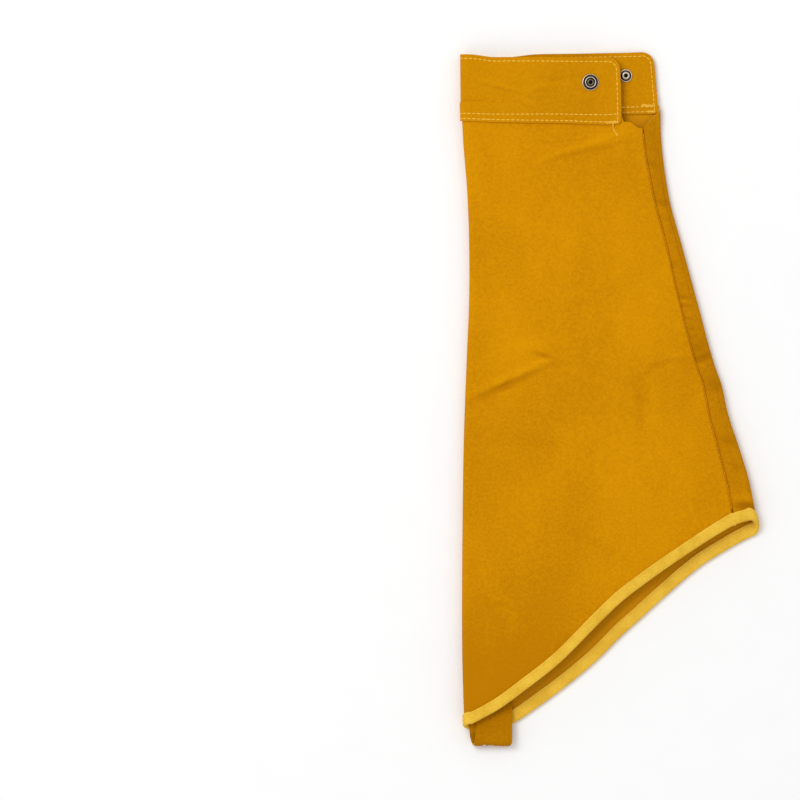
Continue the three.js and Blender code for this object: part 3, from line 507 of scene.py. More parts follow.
def tube_column(place_at, offset_at, rows):
    def at(down, aside):
        part, share = place_at(down)
        return off_tube(part, share, down, offset_at(down) + aside + np.zeros_like(down))

    return at, rows


def still(part, share):
    return lambda down: (part, share)


def runs(*legs):
    """Rows between knots: knot, count, knot, count and so on to the last knot."""
    starts = range(0, len(legs) - 2, 2)
    rows = [np.linspace(legs[i], legs[i + 2], legs[i + 1], endpoint=False) for i in starts]
    return np.concatenate(rows + [[legs[-1]]])


def panel_rows(top, edge, hem, counts=FRONT_ROWS):
    """Rows from a panel's top, past the edge of the cuff's strip, to its hem."""
    under = max(edge + 1, top + 1.5)
    settled = max(edge + CUFF_SLOPE, under + 3)
    a, b, c, d = counts
    return runs(
        top, 3, under, 12, settled, a, BELOW_CUFF, b, CREASES_FROM, c, CREASES_TO, d,
        hem - HEM_SLOPE, 8, hem - HEM_FLAT, 6, hem,
    )


def hem_of(place_at):
    down = LONG_SIDE
    for _ in range(12):
        down = float(hem_at(*place_at(down)))
    return down


def front_panel(materials):
    notch = panel_rows(SLIT, NEAR_EDGE, float(hem_at("upper", 0.0)))

    def turned(inset):
        def at(down, aside):
            share = share_at("upper", seam_at(down) - inset, down)
            return off_tube("upper", share, down, -PLY - aside + np.zeros_like(down))

        return at, notch

    def rolled(degrees):
        angle = math.radians(degrees)

        def at(down, aside):
            radius = PLY / 2 + aside
            share = share_at("upper", seam_at(down) - PLY / 2, down)
            depth = -PLY / 2 + radius * math.sin(angle)
            centre = off_tube("upper", share, down, depth + np.zeros_like(down))
            return centre + np.array([radius * math.cos(angle), 0, 0])

        return at, notch

    columns = [turned(ALLOWANCE), turned(ALLOWANCE * 0.6), turned(ALLOWANCE * 0.3)]
    columns += [rolled(a) for a in np.linspace(-90, 90, 11)]
    for share in np.linspace(0, NEAR_FLAP, 9)[1:]:
        top = mix(SLIT, PANEL_CORNER, float(smooth(0.1, 0.75, share / NEAR_FLAP)))
        rows = panel_rows(top, NEAR_EDGE, float(hem_at("upper", share)))
        columns.append(tube_column(still("upper", share), lambda d: 0.0, rows))
    places = [("upper", s) for s in np.linspace(UNDER_FLAP, 1, 128)]
    places += [("long_fold", s) for s in np.linspace(0, 1, 22)[1:]]
    for part, share in places:
        x = float(across(part, share, CUFF_LEVEL))
        edge = band_bottom(part, x)
        rows = panel_rows(edge - BAND_LAP, edge, float(hem_at(part, share)))
        columns.append(tube_column(still(part, share), lambda d: 0.0, rows))
    for share in np.linspace(0, 1, 7)[1:]:
        place_at = lambda d, s=share: (
            "lower",
            share_at("lower", long_edge(d) + mix(long_radius(d), lap_inset(d) + UNDERLAP, s), d),
        )
        edge = band_bottom("lower", LAP_CUFF)
        rows = panel_rows(edge - BAND_LAP, edge, hem_of(place_at))
        columns.append(tube_column(place_at, lambda d: -PLY, rows))
    return sheet_from("front_panel_leather", columns, LEATHER, materials)


def lap_share(down):
    return share_at("lower", long_edge(down) + lap_inset(down), down)


def back_panel(materials):
    columns = []
    for step in np.linspace(0, 1, 56):
        place_at = lambda d, k=step: ("lower", mix(lap_share(d), 1.0, k))
        x = float(across("lower", place_at(CUFF_LEVEL)[1], CUFF_LEVEL))
        edge = band_bottom("lower", x)
        rows = panel_rows(edge - BAND_LAP, edge, hem_of(place_at), BACK_ROWS)
        columns.append(tube_column(place_at, lambda d: 0.0, rows))
    edge = band_bottom("lower", LOWER_END)
    places = [("short_fold", s) for s in np.linspace(0, 1, 24)[1:]]
    places += [("strip", 1 - (1 - s) ** 1.4) for s in np.linspace(0, 1, 32)[1:]]
    for part, share in places:
        climb = NOTCH_RUN * (mix(0.8, 0, share) if part == "strip" else mix(1.35, 0.8, share))
        rows = panel_rows(SLIT - climb, edge, float(hem_at(part, share)), BACK_ROWS)
        columns.append(tube_column(still(part, share), lambda d: 0.0, rows))
    notch = panel_rows(SLIT, edge, float(hem_at("upper", 0.0)), BACK_ROWS)
    for inset in (ALLOWANCE * 0.3, ALLOWANCE * 0.6, ALLOWANCE):
        place_at = lambda d, k=inset: ("upper", share_at("upper", seam_at(d) - k, d))
        columns.append(tube_column(place_at, lambda d: -2 * PLY, notch))
    return sheet_from("back_panel_leather", columns, LEATHER, materials, "strip")


def row_down(row, x, flap):
    """How far down a stitch row of the cuff lies. The two flaps' rows meet on the long fold."""
    if row == "top":
        return band_top(flap, x) + ROW_TOP
    upper, lower = (ROWS_UP[name][1 if row == "high" else 0] for name in ("upper", "lower"))
    upper += ROW_CLIMB * x if row == "high" else 0.0
    up = upper if flap == "upper" else mix(upper, lower, float(smooth(20, 60, x)))
    return band_bottom(flap, x) - up


def band_offset(side, edge, grooves, down, tuck=0.0):
    """How far off the tube a strip of the cuff lies, with its grooves under the stitch rows."""
    offset = mix(CLOSED, ON_PANEL + tuck, parted_at(edge, down))
    for row in grooves:
        offset = offset - GROOVE_DEEP * np.exp(-(((down - row) / GROOVE_WIDE) ** 2)) * side
    return side * offset


def grooves_at(x, flap):
    return [row_down(row, x, flap) for row in ROWS]


def flap_share(flap, x, down):
    """The share of a face at a place on its flap, which is given across at the cuff's level."""
    lean = 0.0
    if flap == "upper":
        lean = UPRIGHT * (CUFF_LEVEL - np.asarray(down)) * float(smooth(60, UPPER_END, x))
    return share_at(flap, x + lean, CUFF_LEVEL)


def rounding(radius, from_end):
    """How far a corner's rounding cuts in, at a distance from the end that it rounds."""
    return radius - math.sqrt(radius**2 - max(0.0, radius - from_end) ** 2)


def cuff_strip(name, side, materials):
    low = float(long_edge(CUFF_LEVEL) + long_radius(CUFF_LEVEL))
    lap = float(long_edge(CUFF_LEVEL) + lap_inset(CUFF_LEVEL))
    lap_start, lap_end = lap - GAP, lap + UNDERLAP + GAP
    xs = [UPPER_END - c for c in CORNER_STEPS]
    xs += list(np.linspace(UPPER_END - CORNER, low, 80)[1:])
    places = [("upper", float(share_at("upper", x, CUFF_LEVEL)), x) for x in xs]
    for share in np.linspace(0, 1, 18)[1:]:
        places.append(("long_fold", share, float(across("long_fold", share, CUFF_LEVEL))))
    xs = list(np.linspace(lap_start, lap_end, 7))
    xs += list(np.linspace(lap_end + 5.7, LOWER_END - CORNER, 52))
    xs += [LOWER_END - c for c in CORNER_STEPS[::-1][1:]]
    places += [("lower", float(share_at("lower", x, CUFF_LEVEL)), x) for x in xs]
    columns = []
    for part, share, x in places:
        is_upper = part == "upper" or (part == "long_fold" and share <= 0.5)
        flap, end = ("upper", UPPER_END) if is_upper else ("lower", LOWER_END)
        edge = band_bottom(flap, x)
        top = band_top(flap, x) + rounding(CORNER, end - x)
        bottom = edge - (rounding(HEEL, end - x) if is_upper else 0.0)
        split = edge - BAND_LAP - GAP
        rows = runs(top, 24, split - PARTING, 6, split, 16, bottom)
        tuck = PLY if side < 0 and part == "lower" and x <= lap_end + 1e-6 else 0.0
        grooves = grooves_at(x, flap)
        offset = lambda d, e=edge, g=grooves, k=tuck: band_offset(side, e, g, d, k)
        place_at = lambda d, p=part, x=x: (p, flap_share(p, x, d))
        if part == "long_fold":
            place_at = still(part, share)
        columns.append(tube_column(place_at, offset, rows))
    return sheet_from(name, columns, STRIP_THICK, materials)


def slant_at(part, share):
    if part == "long_fold":
        return mix(slant_at("upper", 1.0), slant_at("lower", 0.0), share)
    if part == "short_fold":
        return mix(slant_at("lower", 1.0), slant_at("strip", 0.0), share)
    a, b = max(share - 0.04, 0.0), min(share + 0.04, 1.0)
    down_a, down_b = float(hem_at(part, a)), float(hem_at(part, b))
    run = float(across(part, a, down_a) - across(part, b, down_b))
    return math.hypot(1, (down_a - down_b) / run)


def tape_stations():
    """Places round the hem with how far the layers under the tape push its inner leg in."""
    face = lambda inset: float(share_at("upper", seam_at(SHORT_SIDE) - inset, SHORT_SIDE))
    under = lambda x: float(share_at("lower", long_edge(LONG_SIDE) + x, LONG_SIDE))
    lap = float(lap_inset(LONG_SIDE))
    start, end = float(across("strip", 0.0, SHORT_SIDE)), float(seam_at(SHORT_SIDE))
    past_seam = (end + 3.6 - start) / (end - start)
    legs = (
        ("upper", face(-1.6), face(ALLOWANCE + 0.6), 8, 0, 2 * PLY),
        ("upper", face(ALLOWANCE + 6), 1, 130, 0, 0.0),
        ("long_fold", 0, 1, 26, 1, 0.0),
        ("lower", under(lap - GAP), under(lap + UNDERLAP + GAP), 8, 0, PLY),
        ("lower", under(lap + UNDERLAP + 6), 1, 120, 0, 0.0),
        ("short_fold", 0, 1, 26, 1, 0.0),
        ("strip", 0, past_seam, 12, 1, 0.0),
    )
    return [
        (part, share, tuck)
        for part, first, last, count, skipped, tuck in legs
        for share in np.linspace(first, last, count)[skipped:]
    ]


def tape_profile(leg, under, tuck):
    """The tape's middle line across the hem: past the hem and off the tube, outer leg first."""
    turn = TAPE_REACH - TAPE_THICK / 2
    low = -TAPE_OFF - tuck
    return np.array([
        (-leg, TAPE_OFF - 0.1), (-leg * 0.82, TAPE_OFF + 0.05), (-leg * 0.5, TAPE_OFF + 0.12),
        (-leg * 0.2, TAPE_OFF + 0.05), (0.0, TAPE_OFF - 0.02), (turn * 0.7, TAPE_OFF * 0.82),
        (turn + 0.2, TAPE_OFF * 0.45), (turn + 0.3, -0.1), (turn + 0.2, -TAPE_OFF * 0.5 - tuck),
        (turn * 0.7, -TAPE_OFF * 0.85 - tuck), (0.0, low), (-under * 0.2, low - 0.05),
        (-under * 0.5, low - 0.08), (-under * 0.82, low - 0.04), (-under, low),
    ])


def hem_tape(materials):
    outer, inner, runs_along, rise, travelled, last = [], [], [], [], 0.0, None
    for part, share, tuck in tape_stations():
        hem = float(hem_at(part, share))
        slant = slant_at(part, share)
        line = tape_profile(TAPE * slant, TAPE_UNDER * slant, tuck)
        ahead = np.vstack([line[1:], line[-1:]]) - np.vstack([line[:1], line[:-1]])
        ahead /= np.linalg.norm(ahead, axis=1, keepdims=True)
        aside = np.stack([-ahead[:, 1], ahead[:, 0]], 1) * TAPE_THICK / 2
        middle = off_tube(part, share, hem + line[:, 0], line[:, 1])
        here = middle[3]
        travelled += 0.0 if last is None else float(np.linalg.norm(here - last))
        last = here
        for grid, sign in ((outer, 1), (inner, -1)):
            spots = line + aside * sign
            grid.append(off_tube(part, share, hem + spots[:, 0], spots[:, 1]))
        runs_along.append(np.full(len(line), travelled))
        rise.append(np.linspace(0, 1, len(line)))
    extra = {"run": np.array(runs_along), "rise": np.array(rise)}
    return slab("hem_binding_tape", np.stack(outer), np.stack(inner), materials, True, extra)


def loop_hem():
    """How far down the hem lies at the loop's middle."""
    return float(hem_at("lower", float(share_at("lower", LOOP_IN + LOOP_WIDE / 2, LONG_SIDE))))


def tie_loop(materials):
    line = np.array([(out * LOOP_LONG, up * LOOP_HIGH, aside) for out, up, aside in LOOP_LINE])
    steps = np.r_[0, np.cumsum(np.linalg.norm(np.diff(line[:, :2], axis=0), axis=1))]
    table = np.c_[steps, line]
    fine = np.linspace(0, steps[-1], 90)
    path = np.stack([line_through(table.tolist(), k)(fine) for k in (1, 2, 3)], 1)
    ahead = np.gradient(path[:, :2], axis=0)
    ahead /= np.linalg.norm(ahead, axis=1, keepdims=True)
    hem = loop_hem()
    ragged = np.random.default_rng(7)
    shares = np.linspace(0, 1, 61)
    frayed = np.convolve(ragged.normal(0, 1, 65), np.ones(3) / 3, "same")[2:63] * 0.75
    fold = LOOP_FOLD * LOOP_LONG
    at_fold = smooth(0.29, LOOP_FOLD, path[:, 0] / LOOP_LONG)[:, None]
    past = [rounding(LOOP_CORNER, fold + 0.7 - out) for out in np.minimum(path[:, 0], fold)]
    faces = []
    wander = np.convolve(ragged.normal(0, 1, 102), np.ones(5) / 5, "same")[6:96] * 0.28
    for sign in (-1, 1):
        spot = path[:, :2] + np.stack([ahead[:, 1], -ahead[:, 0]], 1) * sign * LOOP_THICK / 2
        x = LOOP_IN + (path[:, 2:3] * (1 - shares[None]) + shares[None]) * LOOP_WIDE
        x = x - np.array(past)[:, None] * shares[None] ** 8
        x = x + wander[:, None] * (1 - 2 * np.minimum(shares, 0.5)[None]) ** 3
        y = -(hem + spot[:, :1] + frayed[None] * at_fold)
        puff = 0.25 * np.sin(shares * math.pi)[None] * np.exp(-(((path[:, :1] - 8) / 6) ** 2))
        z = spot[:, 1:2] + puff
        faces.append(np.stack([x, y, z + np.zeros_like(x)], -1))
    return slab("tie_loop_strap", faces[0], faces[1], materials)


class Value:
    """A shader socket with arithmetic."""

    def __init__(self, graph, socket):
        self.graph, self.socket = graph, socket

    def __add__(self, other):
        return self.graph.math("ADD", self, other)

    def __sub__(self, other):
        return self.graph.math("SUBTRACT", self, other)

    def __mul__(self, other):
        return self.graph.math("MULTIPLY", self, other)

    def __rsub__(self, other):
        return self.graph.math("SUBTRACT", other, self)

    __radd__, __rmul__ = __add__, __mul__


class Graph:
    """The node graph of one material, over a principled shader."""

    def __init__(self, name):
        self.material = bpy.data.materials.new(name)
        self.material.use_nodes = True
        self.tree = self.material.node_tree
        self.shader = next(n for n in self.tree.nodes if n.type == "BSDF_PRINCIPLED")
        self.coords = self.tree.nodes.new("ShaderNodeTexCoord").outputs["Object"]

    def put(self, socket, value):
        if isinstance(value, Value):
            self.tree.links.new(value.socket, socket)
        else:
            socket.default_value = value

    def math(self, operation, a, b=0.0):
        node = self.tree.nodes.new("ShaderNodeMath")
        node.operation = operation
        self.put(node.inputs[0], a)
        self.put(node.inputs[1], b)
        return Value(self, node.outputs[0])

    def attribute(self, name):
        node = self.tree.nodes.new("ShaderNodeAttribute")
        node.attribute_name = name
        return Value(self, node.outputs["Fac"])

    def noise(self, scale, detail=2.0, roughness=0.5, stretch=None):
        node = self.tree.nodes.new("ShaderNodeTexNoise")
        node.inputs["Scale"].default_value = scale
        node.inputs["Detail"].default_value = detail
        node.inputs["Roughness"].default_value = roughness
        place = self.coords
        if stretch:
            mapping = self.tree.nodes.new("ShaderNodeMapping")
            mapping.inputs["Rotation"].default_value = (0, 0, stretch[0])
            mapping.inputs["Scale"].default_value = (stretch[1], stretch[2], 1)
            self.tree.links.new(place, mapping.inputs["Vector"])
            place = mapping.outputs["Vector"]
        self.tree.links.new(place, node.inputs["Vector"])
        return Value(self, node.outputs["Fac"])

    def step(self, value, low, high, to_low=0.0, to_high=1.0):
        node = self.tree.nodes.new("ShaderNodeMapRange")
        node.interpolation_type = "SMOOTHSTEP"
        self.put(node.inputs["Value"], value)
        for socket, number in zip(list(node.inputs)[1:5], (low, high, to_low, to_high)):
            socket.default_value = number
        return Value(self, node.outputs["Result"])

    def blend(self, amount, a, b):
        node = self.tree.nodes.new("ShaderNodeMix")
        node.data_type = "RGBA"
        self.put(node.inputs[0], amount)
        for socket, colour in ((node.inputs[6], a), (node.inputs[7], b)):
            self.put(socket, colour if isinstance(colour, Value) else (*colour, 1.0))
        return Value(self, node.outputs[2])

    def bump(self, height, distance, strength=1.0):
        node = self.tree.nodes.new("ShaderNodeBump")
        node.inputs["Distance"].default_value = distance
        node.inputs["Strength"].default_value = strength
        self.put(node.inputs["Height"], height)
        self.tree.links.new(node.outputs["Normal"], self.shader.inputs["Normal"])

    def finish(self, colour, roughness, **constants):
        self.put(self.shader.inputs["Base Color"], colour)
        self.put(self.shader.inputs["Roughness"], roughness)
        for name, value in constants.items():
            self.shader.inputs[name.replace("_", " ")].default_value = value
        return self.material


def srgb(red, green, blue):
    """An sRGB colour of 0 to 255 as linear light."""
    shares = (red / 255, green / 255, blue / 255)
    return tuple(c / 12.92 if c <= 0.04045 else ((c + 0.055) / 1.055) ** 2.4 for c in shares)


def suede(name, light, dark, edge, worn=0.0, inside_painted_light=0.0):
    """Split leather: soft cloudy dye, short nap, paler raw cut edges, painted shade and painted
    light.
    """
    g = Graph(name)
    clouds = g.noise(11.0, 3.0, 0.55)
    streaks = g.noise(26.0, 3.0, 0.6, stretch=(0.5, 1.0, 0.35))
    nap = g.noise(430.0, 5.0, 0.68)
    fibres = g.noise(1500.0, 3.0, 0.7)
    tone = g.step(clouds * 0.6 + streaks * 0.4, 0.34, 0.66)
    speck = g.step(nap, 0.32, 0.7) * 0.4 + g.step(fibres, 0.35, 0.65) * 0.25
    down_sleeve, across_sleeve = g.attribute("down"), g.attribute("across")
    shade = tone * 0.32 + speck + g.step(down_sleeve, 400.0, 600.0, 0.09, -0.5)
    shade = shade + g.step(across_sleeve, 60.0, 0.0, 0.0, -0.05)
    # Painted shade: darker towards the right side, where the strip slopes away from the light.
    shade = shade + g.step(across_sleeve, 150.0, 230.0, 0.0, -0.12)
    low_left = g.step(across_sleeve, 90.0, 0.0) * g.step(down_sleeve, 420.0, 560.0, 0.0, -0.16)
    # Painted shade in the creases' valleys and painted light on their ridges, from their heights.
    shade = shade + low_left + g.attribute("crease_shading") * 0.5 + worn
    body = g.blend(g.step(shade, -0.1, 1.15), dark, light)
    # Painted light: the inner faces, which lie in shade, are lifted towards a bright ochre.
    body = g.blend(g.attribute("inside") * inside_painted_light, body, srgb(240, 168, 24))
    raw = g.blend(g.step(nap, 0.35, 0.65), edge, tuple(c * 0.8 for c in edge))
    g.bump(nap * 0.6 + fibres * 0.3 + streaks * 0.5, 0.00042, 0.55)
    return g.finish(
        g.blend(g.attribute("cut"), body, raw), g.step(nap, 0.2, 0.8, 0.84, 0.97),
        Specular_IOR_Level=0.03, Sheen_Weight=0.08, Sheen_Roughness=0.5,
        Sheen_Tint=(1.0, 0.72, 0.05, 1.0),
    )


def tape_cloth(name, light, dark):
    """Narrow folded tape: fine slanted ribs, fluff and light soiling, and a lower leg painted
    brighter and warmer as light in its shade.
    """
    g = Graph(name)
    run, rise = g.attribute("run"), g.attribute("rise")
    rib = g.math("SINE", run * 1.7 - rise * 80.0) * 0.5 + 0.5
    cross = g.math("SINE", run * 4.1 + rise * 90.0) * 0.5 + 0.5
    grime = g.noise(60.0, 4.0, 0.6)
    fluff = g.noise(900.0, 4.0, 0.65)
    soiling = g.step(grime, 0.3, 0.7) * 0.35 + g.step(fluff, 0.3, 0.7) * 0.35
    tone = rib * 0.2 + cross * 0.1 + soiling
    # Painted light: the lower leg, which lies in shade, is brighter and warmer, as if lit by light
    # bounced off the suede.
    lower_leg_painted_light = g.blend(tone, srgb(216, 164, 40), srgb(250, 204, 74))
    cloth = g.blend(g.step(rise, 0.5, 0.6), g.blend(tone, dark, light), lower_leg_painted_light)
    g.bump(rib * 0.35 + cross * 0.2 + fluff * 0.8, 0.00024, 0.5)
    return g.finish(cloth, 0.93, Specular_IOR_Level=0.06, Sheen_Weight=0.1, Sheen_Roughness=0.4)


def thread(name, light, dark):
    g = Graph(name)
    twist = g.noise(2600.0, 2.0, 0.5, stretch=(0.6, 1.0, 0.35))
    g.bump(twist, 0.0001, 0.5)
    return g.finish(g.blend(g.step(twist, 0.3, 0.7), dark, light), 0.8, Specular_IOR_Level=0.1)


def antique_metal(name):
    """Dark plating that is worn bright where the rims are rubbed."""
    g = Graph(name)
    spots = g.noise(700.0, 4.0, 0.6)
    scuffs = g.noise(2400.0, 3.0, 0.6, stretch=(0.9, 1.0, 0.2))
    rub = g.attribute("rub") + g.step(spots, 0.45, 0.75) * 0.25 - 0.1
    colour = g.blend(g.step(rub, 0.1, 0.95), srgb(44, 37, 30), srgb(222, 210, 188))
    g.bump(spots * 0.6 + scuffs * 0.4, 0.00006, 0.5)
    return g.finish(colour, g.step(scuffs, 0.3, 0.7, 0.3, 0.48), Metallic=0.9)


def paper(name):
    g = Graph(name)
    grain = g.noise(35.0, 3.0, 0.5)
    g.bump(grain, 0.0001, 0.1)
    colour = g.blend(grain, srgb(250, 250, 250), srgb(253, 253, 253))
    return g.finish(colour, 0.95, Specular_IOR_Level=0.1)


SUEDE = suede("ochre suede", srgb(220, 149, 3), srgb(188, 121, 1), srgb(226, 178, 84))
# A darker copy of the ochre suede: painted shade for the strip, which slopes away from the light,
# and painted light on its inner faces.
SHADED_BACK_SUEDE = suede(
    "ochre suede of the back panel", srgb(208, 139, 3), srgb(176, 112, 1), srgb(220, 170, 76),
    inside_painted_light=0.45,
)
CUFF = suede("ochre suede of the cuff", srgb(213, 144, 3), srgb(184, 119, 1), srgb(224, 176, 80))
STRAP = suede(
    "ochre suede of the strap", srgb(208, 138, 3), srgb(172, 111, 1), srgb(220, 168, 70), worn=0.35
)
TAPE_CLOTH = tape_cloth("yellow tape", srgb(252, 208, 76), srgb(206, 154, 24))
SEAM_THREAD = thread("ochre seam thread", srgb(226, 154, 8), srgb(206, 136, 5))
FIBRE = thread("raw suede fibre", srgb(214, 160, 40), srgb(176, 118, 14))
THREAD = thread("pale yellow thread", srgb(254, 206, 82), srgb(228, 172, 46))
TAPE_THREAD = thread("yellow tape thread", srgb(240, 200, 84), srgb(216, 166, 50))
METAL = antique_metal("antique plating")
PAPER = paper("white table")


def stitch_nodes():
    """Geometry nodes that lay one sunk stitch on each point of a seam, square to the leather."""
    tree = bpy.data.node_groups.new("stitches along a seam", "GeometryNodeTree")
    face = tree.interface
    face.new_socket("Seam", in_out="INPUT", socket_type="NodeSocketGeometry")
    sizes = (("Length", 0.0034), ("Width", 0.0008), ("Height", 0.0006), ("Unevenness", 0.12))
    for label, default in sizes:
        socket = face.new_socket(label, in_out="INPUT", socket_type="NodeSocketFloat")
        socket.default_value = default
    face.new_socket("Seed", in_out="INPUT", socket_type="NodeSocketInt").default_value = 3
    face.new_socket("Thread", in_out="INPUT", socket_type="NodeSocketMaterial")
    face.new_socket("Stitches", in_out="OUTPUT", socket_type="NodeSocketGeometry")
    new, link = tree.nodes.new, tree.links.new
    source, sink = new("NodeGroupInput"), new("NodeGroupOutput")
    ball = new("GeometryNodeMeshUVSphere")
    ball.inputs["Segments"].default_value = 10
    ball.inputs["Rings"].default_value = 7
    ball.inputs["Radius"].default_value = 0.5
    size = new("ShaderNodeCombineXYZ")
    for label, axis in (("Length", 0), ("Width", 1), ("Height", 2)):
        link(source.outputs[label], size.inputs[axis])
    shaped = new("GeometryNodeTransform")
    link(ball.outputs["Mesh"], shaped.inputs["Geometry"])
    link(size.outputs[0], shaped.inputs["Scale"])
    ways = []
    for label in ("along", "up"):
        way = new("GeometryNodeInputNamedAttribute")
        way.data_type = "FLOAT_VECTOR"
        way.inputs["Name"].default_value = label
        ways.append(way)
    turn = new("FunctionNodeAxesToRotation")
    turn.primary_axis, turn.secondary_axis = "X", "Z"
    link(ways[0].outputs["Attribute"], turn.inputs["Primary Axis"])
    link(ways[1].outputs["Attribute"], turn.inputs["Secondary Axis"])
    least, most = new("ShaderNodeMath"), new("ShaderNodeMath")
    least.operation, most.operation = "SUBTRACT", "ADD"
    for node in (least, most):
        node.inputs[0].default_value = 1.0
        link(source.outputs["Unevenness"], node.inputs[1])
    jitter = new("FunctionNodeRandomValue")
    jitter.data_type = "FLOAT_VECTOR"
    link(least.outputs[0], jitter.inputs["Min"])
    link(most.outputs[0], jitter.inputs["Max"])
    link(source.outputs["Seed"], jitter.inputs["Seed"])
    laid = new("GeometryNodeInstanceOnPoints")
    link(source.outputs["Seam"], laid.inputs["Points"])
    link(shaped.outputs[0], laid.inputs["Instance"])
    link(turn.outputs[0], laid.inputs["Rotation"])
    link(jitter.outputs["Value"], laid.inputs["Scale"])
    real = new("GeometryNodeRealizeInstances")
    dyed = new("GeometryNodeSetMaterial")
    rounded = new("GeometryNodeSetShadeSmooth")
    link(laid.outputs[0], real.inputs[0])
    link(real.outputs[0], dyed.inputs["Geometry"])
    link(source.outputs["Thread"], dyed.inputs["Material"])
    link(dyed.outputs[0], rounded.inputs[0])
    link(rounded.outputs[0], sink.inputs[0])
    return tree


STITCH_NODES = stitch_nodes()


def applied(obj, modifier):
    """The object, with what its modifier makes as its own plain mesh."""
    graph = bpy.context.evaluated_depsgraph_get()
    made = bpy.data.meshes.new_from_object(obj.evaluated_get(graph))
    obj.modifiers.remove(modifier)
    obj.data = made
    return obj


def stitches(
    name, seams, length=3.6, width=0.95, height=0.8, unevenness=0.12, seed=3, material=THREAD
):
    """One mesh of stitches. A seam holds points, run directions and leather normals."""
    points = to_row(np.concatenate([seam[0] for seam in seams]))
    mesh = bpy.data.meshes.new(name)
    mesh.from_pydata(points.tolist(), [], [])
    for label, k in (("along", 1), ("up", 2)):
        layer = mesh.attributes.new(label, "FLOAT_VECTOR", "POINT")
        ways = np.concatenate([seam[k] for seam in seams]).astype(np.float32)
        layer.data.foreach_set("vector", ways.ravel())
    obj = bpy.data.objects.new(name, mesh)
    bpy.context.scene.collection.objects.link(obj)
    modifier = obj.modifiers.new("stitches", "NODES")
    modifier.node_group = STITCH_NODES
    values = {
        "Length": length / PER_METRE, "Width": width / PER_METRE, "Height": height / PER_METRE,
        "Unevenness": unevenness, "Seed": seed, "Thread": material,
    }
    for item in STITCH_NODES.interface.items_tree:
        if item.in_out == "INPUT" and item.name in values:
            modifier[item.identifier] = values[item.name]
    applied(obj, modifier)
    obj.data.name = name
    return obj


def seam_along(samples, pitch, lift=0.02, face=1):
    """Evenly spaced stitches along samples of (part, share, down, offset), by face: outer or -1."""
    points = np.stack([off_tube(p, s, d, np.asarray(o + face * lift)) for p, s, d, o in samples])
    normals = np.stack([normal_at(p, s, d) for p, s, d, _ in samples]) * face
    return spaced(points, normals, pitch)


def spaced(points, normals, pitch):
    gone = np.r_[0, np.cumsum(np.linalg.norm(np.diff(points, axis=0), axis=1))]
    count = max(1, round(gone[-1] / pitch))
    at = (np.arange(count) + 0.5) / count * gone[-1]

    def pick(values, where):
        return np.stack([np.interp(where, gone, values[:, k]) for k in range(3)], 1)

    along = pick(points, at + 0.4) - pick(points, at - 0.4)
    along /= np.linalg.norm(along, axis=1, keepdims=True)
    return pick(points, at), along, pick(normals, at)


def band_samples(flap, side, row, start, end, count=90):
    """Samples along a stitch row of a flap, from one place across to another."""
    xs = np.linspace(start, end, count)
    return [band_spot(flap, side, x, row_down(row, x, flap)) for x in xs]


def band_spot(flap, side, x, down):
    """A spot on a strip's free face, as part, share, down and distance off the tube."""
    share = float(flap_share(flap, x, down))
    tuck = PLY if side < 0 and flap == "lower" and x < 24 else 0.0
    middle = float(band_offset(side, band_bottom(flap, x), grooves_at(x, flap), down, tuck))
    return flap, share, down, middle + side * STRIP_THICK / 2


def fold_samples(row):
    """A row of the outer strip carried round the long fold."""
    samples = []
    for share in np.linspace(0, 1, 16):
        flap = "upper" if share <= 0.5 else "lower"
        x = float(across("long_fold", share, CUFF_LEVEL))
        down = row_down(row, x, flap)
        middle = float(band_offset(1, band_bottom(flap, x), grooves_at(x, flap), down))
        offset = middle + STRIP_THICK / 2
        samples.append(("long_fold", share, down, offset))
    return samples


def flap_end_samples(flap, side):
    """The row round a flap's free corner and down its end."""
    end = UPPER_END if flap == "upper" else LOWER_END
    inset, radius = END_ROW, CORNER - END_ROW
    top, bottom = row_down("top", end, flap), row_down("low", end, flap)
    spots = [
        (end - inset - radius * (1 - math.sin(a)), top + radius * (1 - math.cos(a)))
        for a in np.linspace(0, math.pi / 2, 12)
    ]
    spots += [(end - inset, down) for down in np.linspace(top + radius + 1, bottom, 24)]
    return [band_spot(flap, side, x, down) for x, down in spots]


def cuff_stitches():
    low = float(long_edge(CUFF_LEVEL) + long_radius(CUFF_LEVEL))
    lines = []
    for row in ROWS:
        inset = CORNER if row == "top" else END_ROW
        seen_from = 40 if row == "top" else 96
        round_fold = band_samples("upper", 1, row, UPPER_END - inset, low) + fold_samples(row)[1:]
        lines.append((round_fold, 1))
        lines.append((band_samples("lower", 1, row, low + 4, LOWER_END - inset), 1))
        lines.append((band_samples("lower", -1, row, seen_from, LOWER_END - inset), -1))
        lines.append((band_samples("upper", -1, row, 100, UPPER_END - 4), -1))
    for flap, side in (("upper", 1), ("lower", 1), ("lower", -1)):
        lines.append((flap_end_samples(flap, side), side))
    seams = [seam_along(samples, STITCH_PITCH, face=side) for samples, side in lines]
    return stitches("cuff_stitching", seams)


def under_spot(x, down):
    """A spot on the outside of the back panel, underneath."""
    return "lower", float(share_at("lower", x, down)), down, LEATHER / 2


def lap_stitches():
    """The topstitching of the lapped seam, on the underside."""
    samples = []
    for down in np.linspace(band_bottom("lower", 10) + 1, 560, 260):
        samples.append(under_spot(float(long_edge(down) + lap_inset(down)) + LAP_ROW, down))
    return stitches("lap_seam_stitching", [seam_along(samples, LAP_PITCH, lift=-0.05)], height=0.5)


def plain_seam_stitches():
    """The seam's own thread, deep in the groove between the front panel's roll and the strip."""
    samples = []
    for down in np.linspace(70, 388, 200):
        depth = 1.1 + 0.8 * (2.2 - min(2.2, float(seam_swell(down / SHORT_SIDE))))
        share = float(share_at("upper", seam_at(down) + SEAM_ROW, down))
        samples.append(("upper", share, down, -depth))
    return stitches(
        "plain_seam_thread", [seam_along(samples, SEAM_PITCH)], length=3.6, width=1.3, height=1.0,
        unevenness=0.15, seed=9, material=SEAM_THREAD,
    )


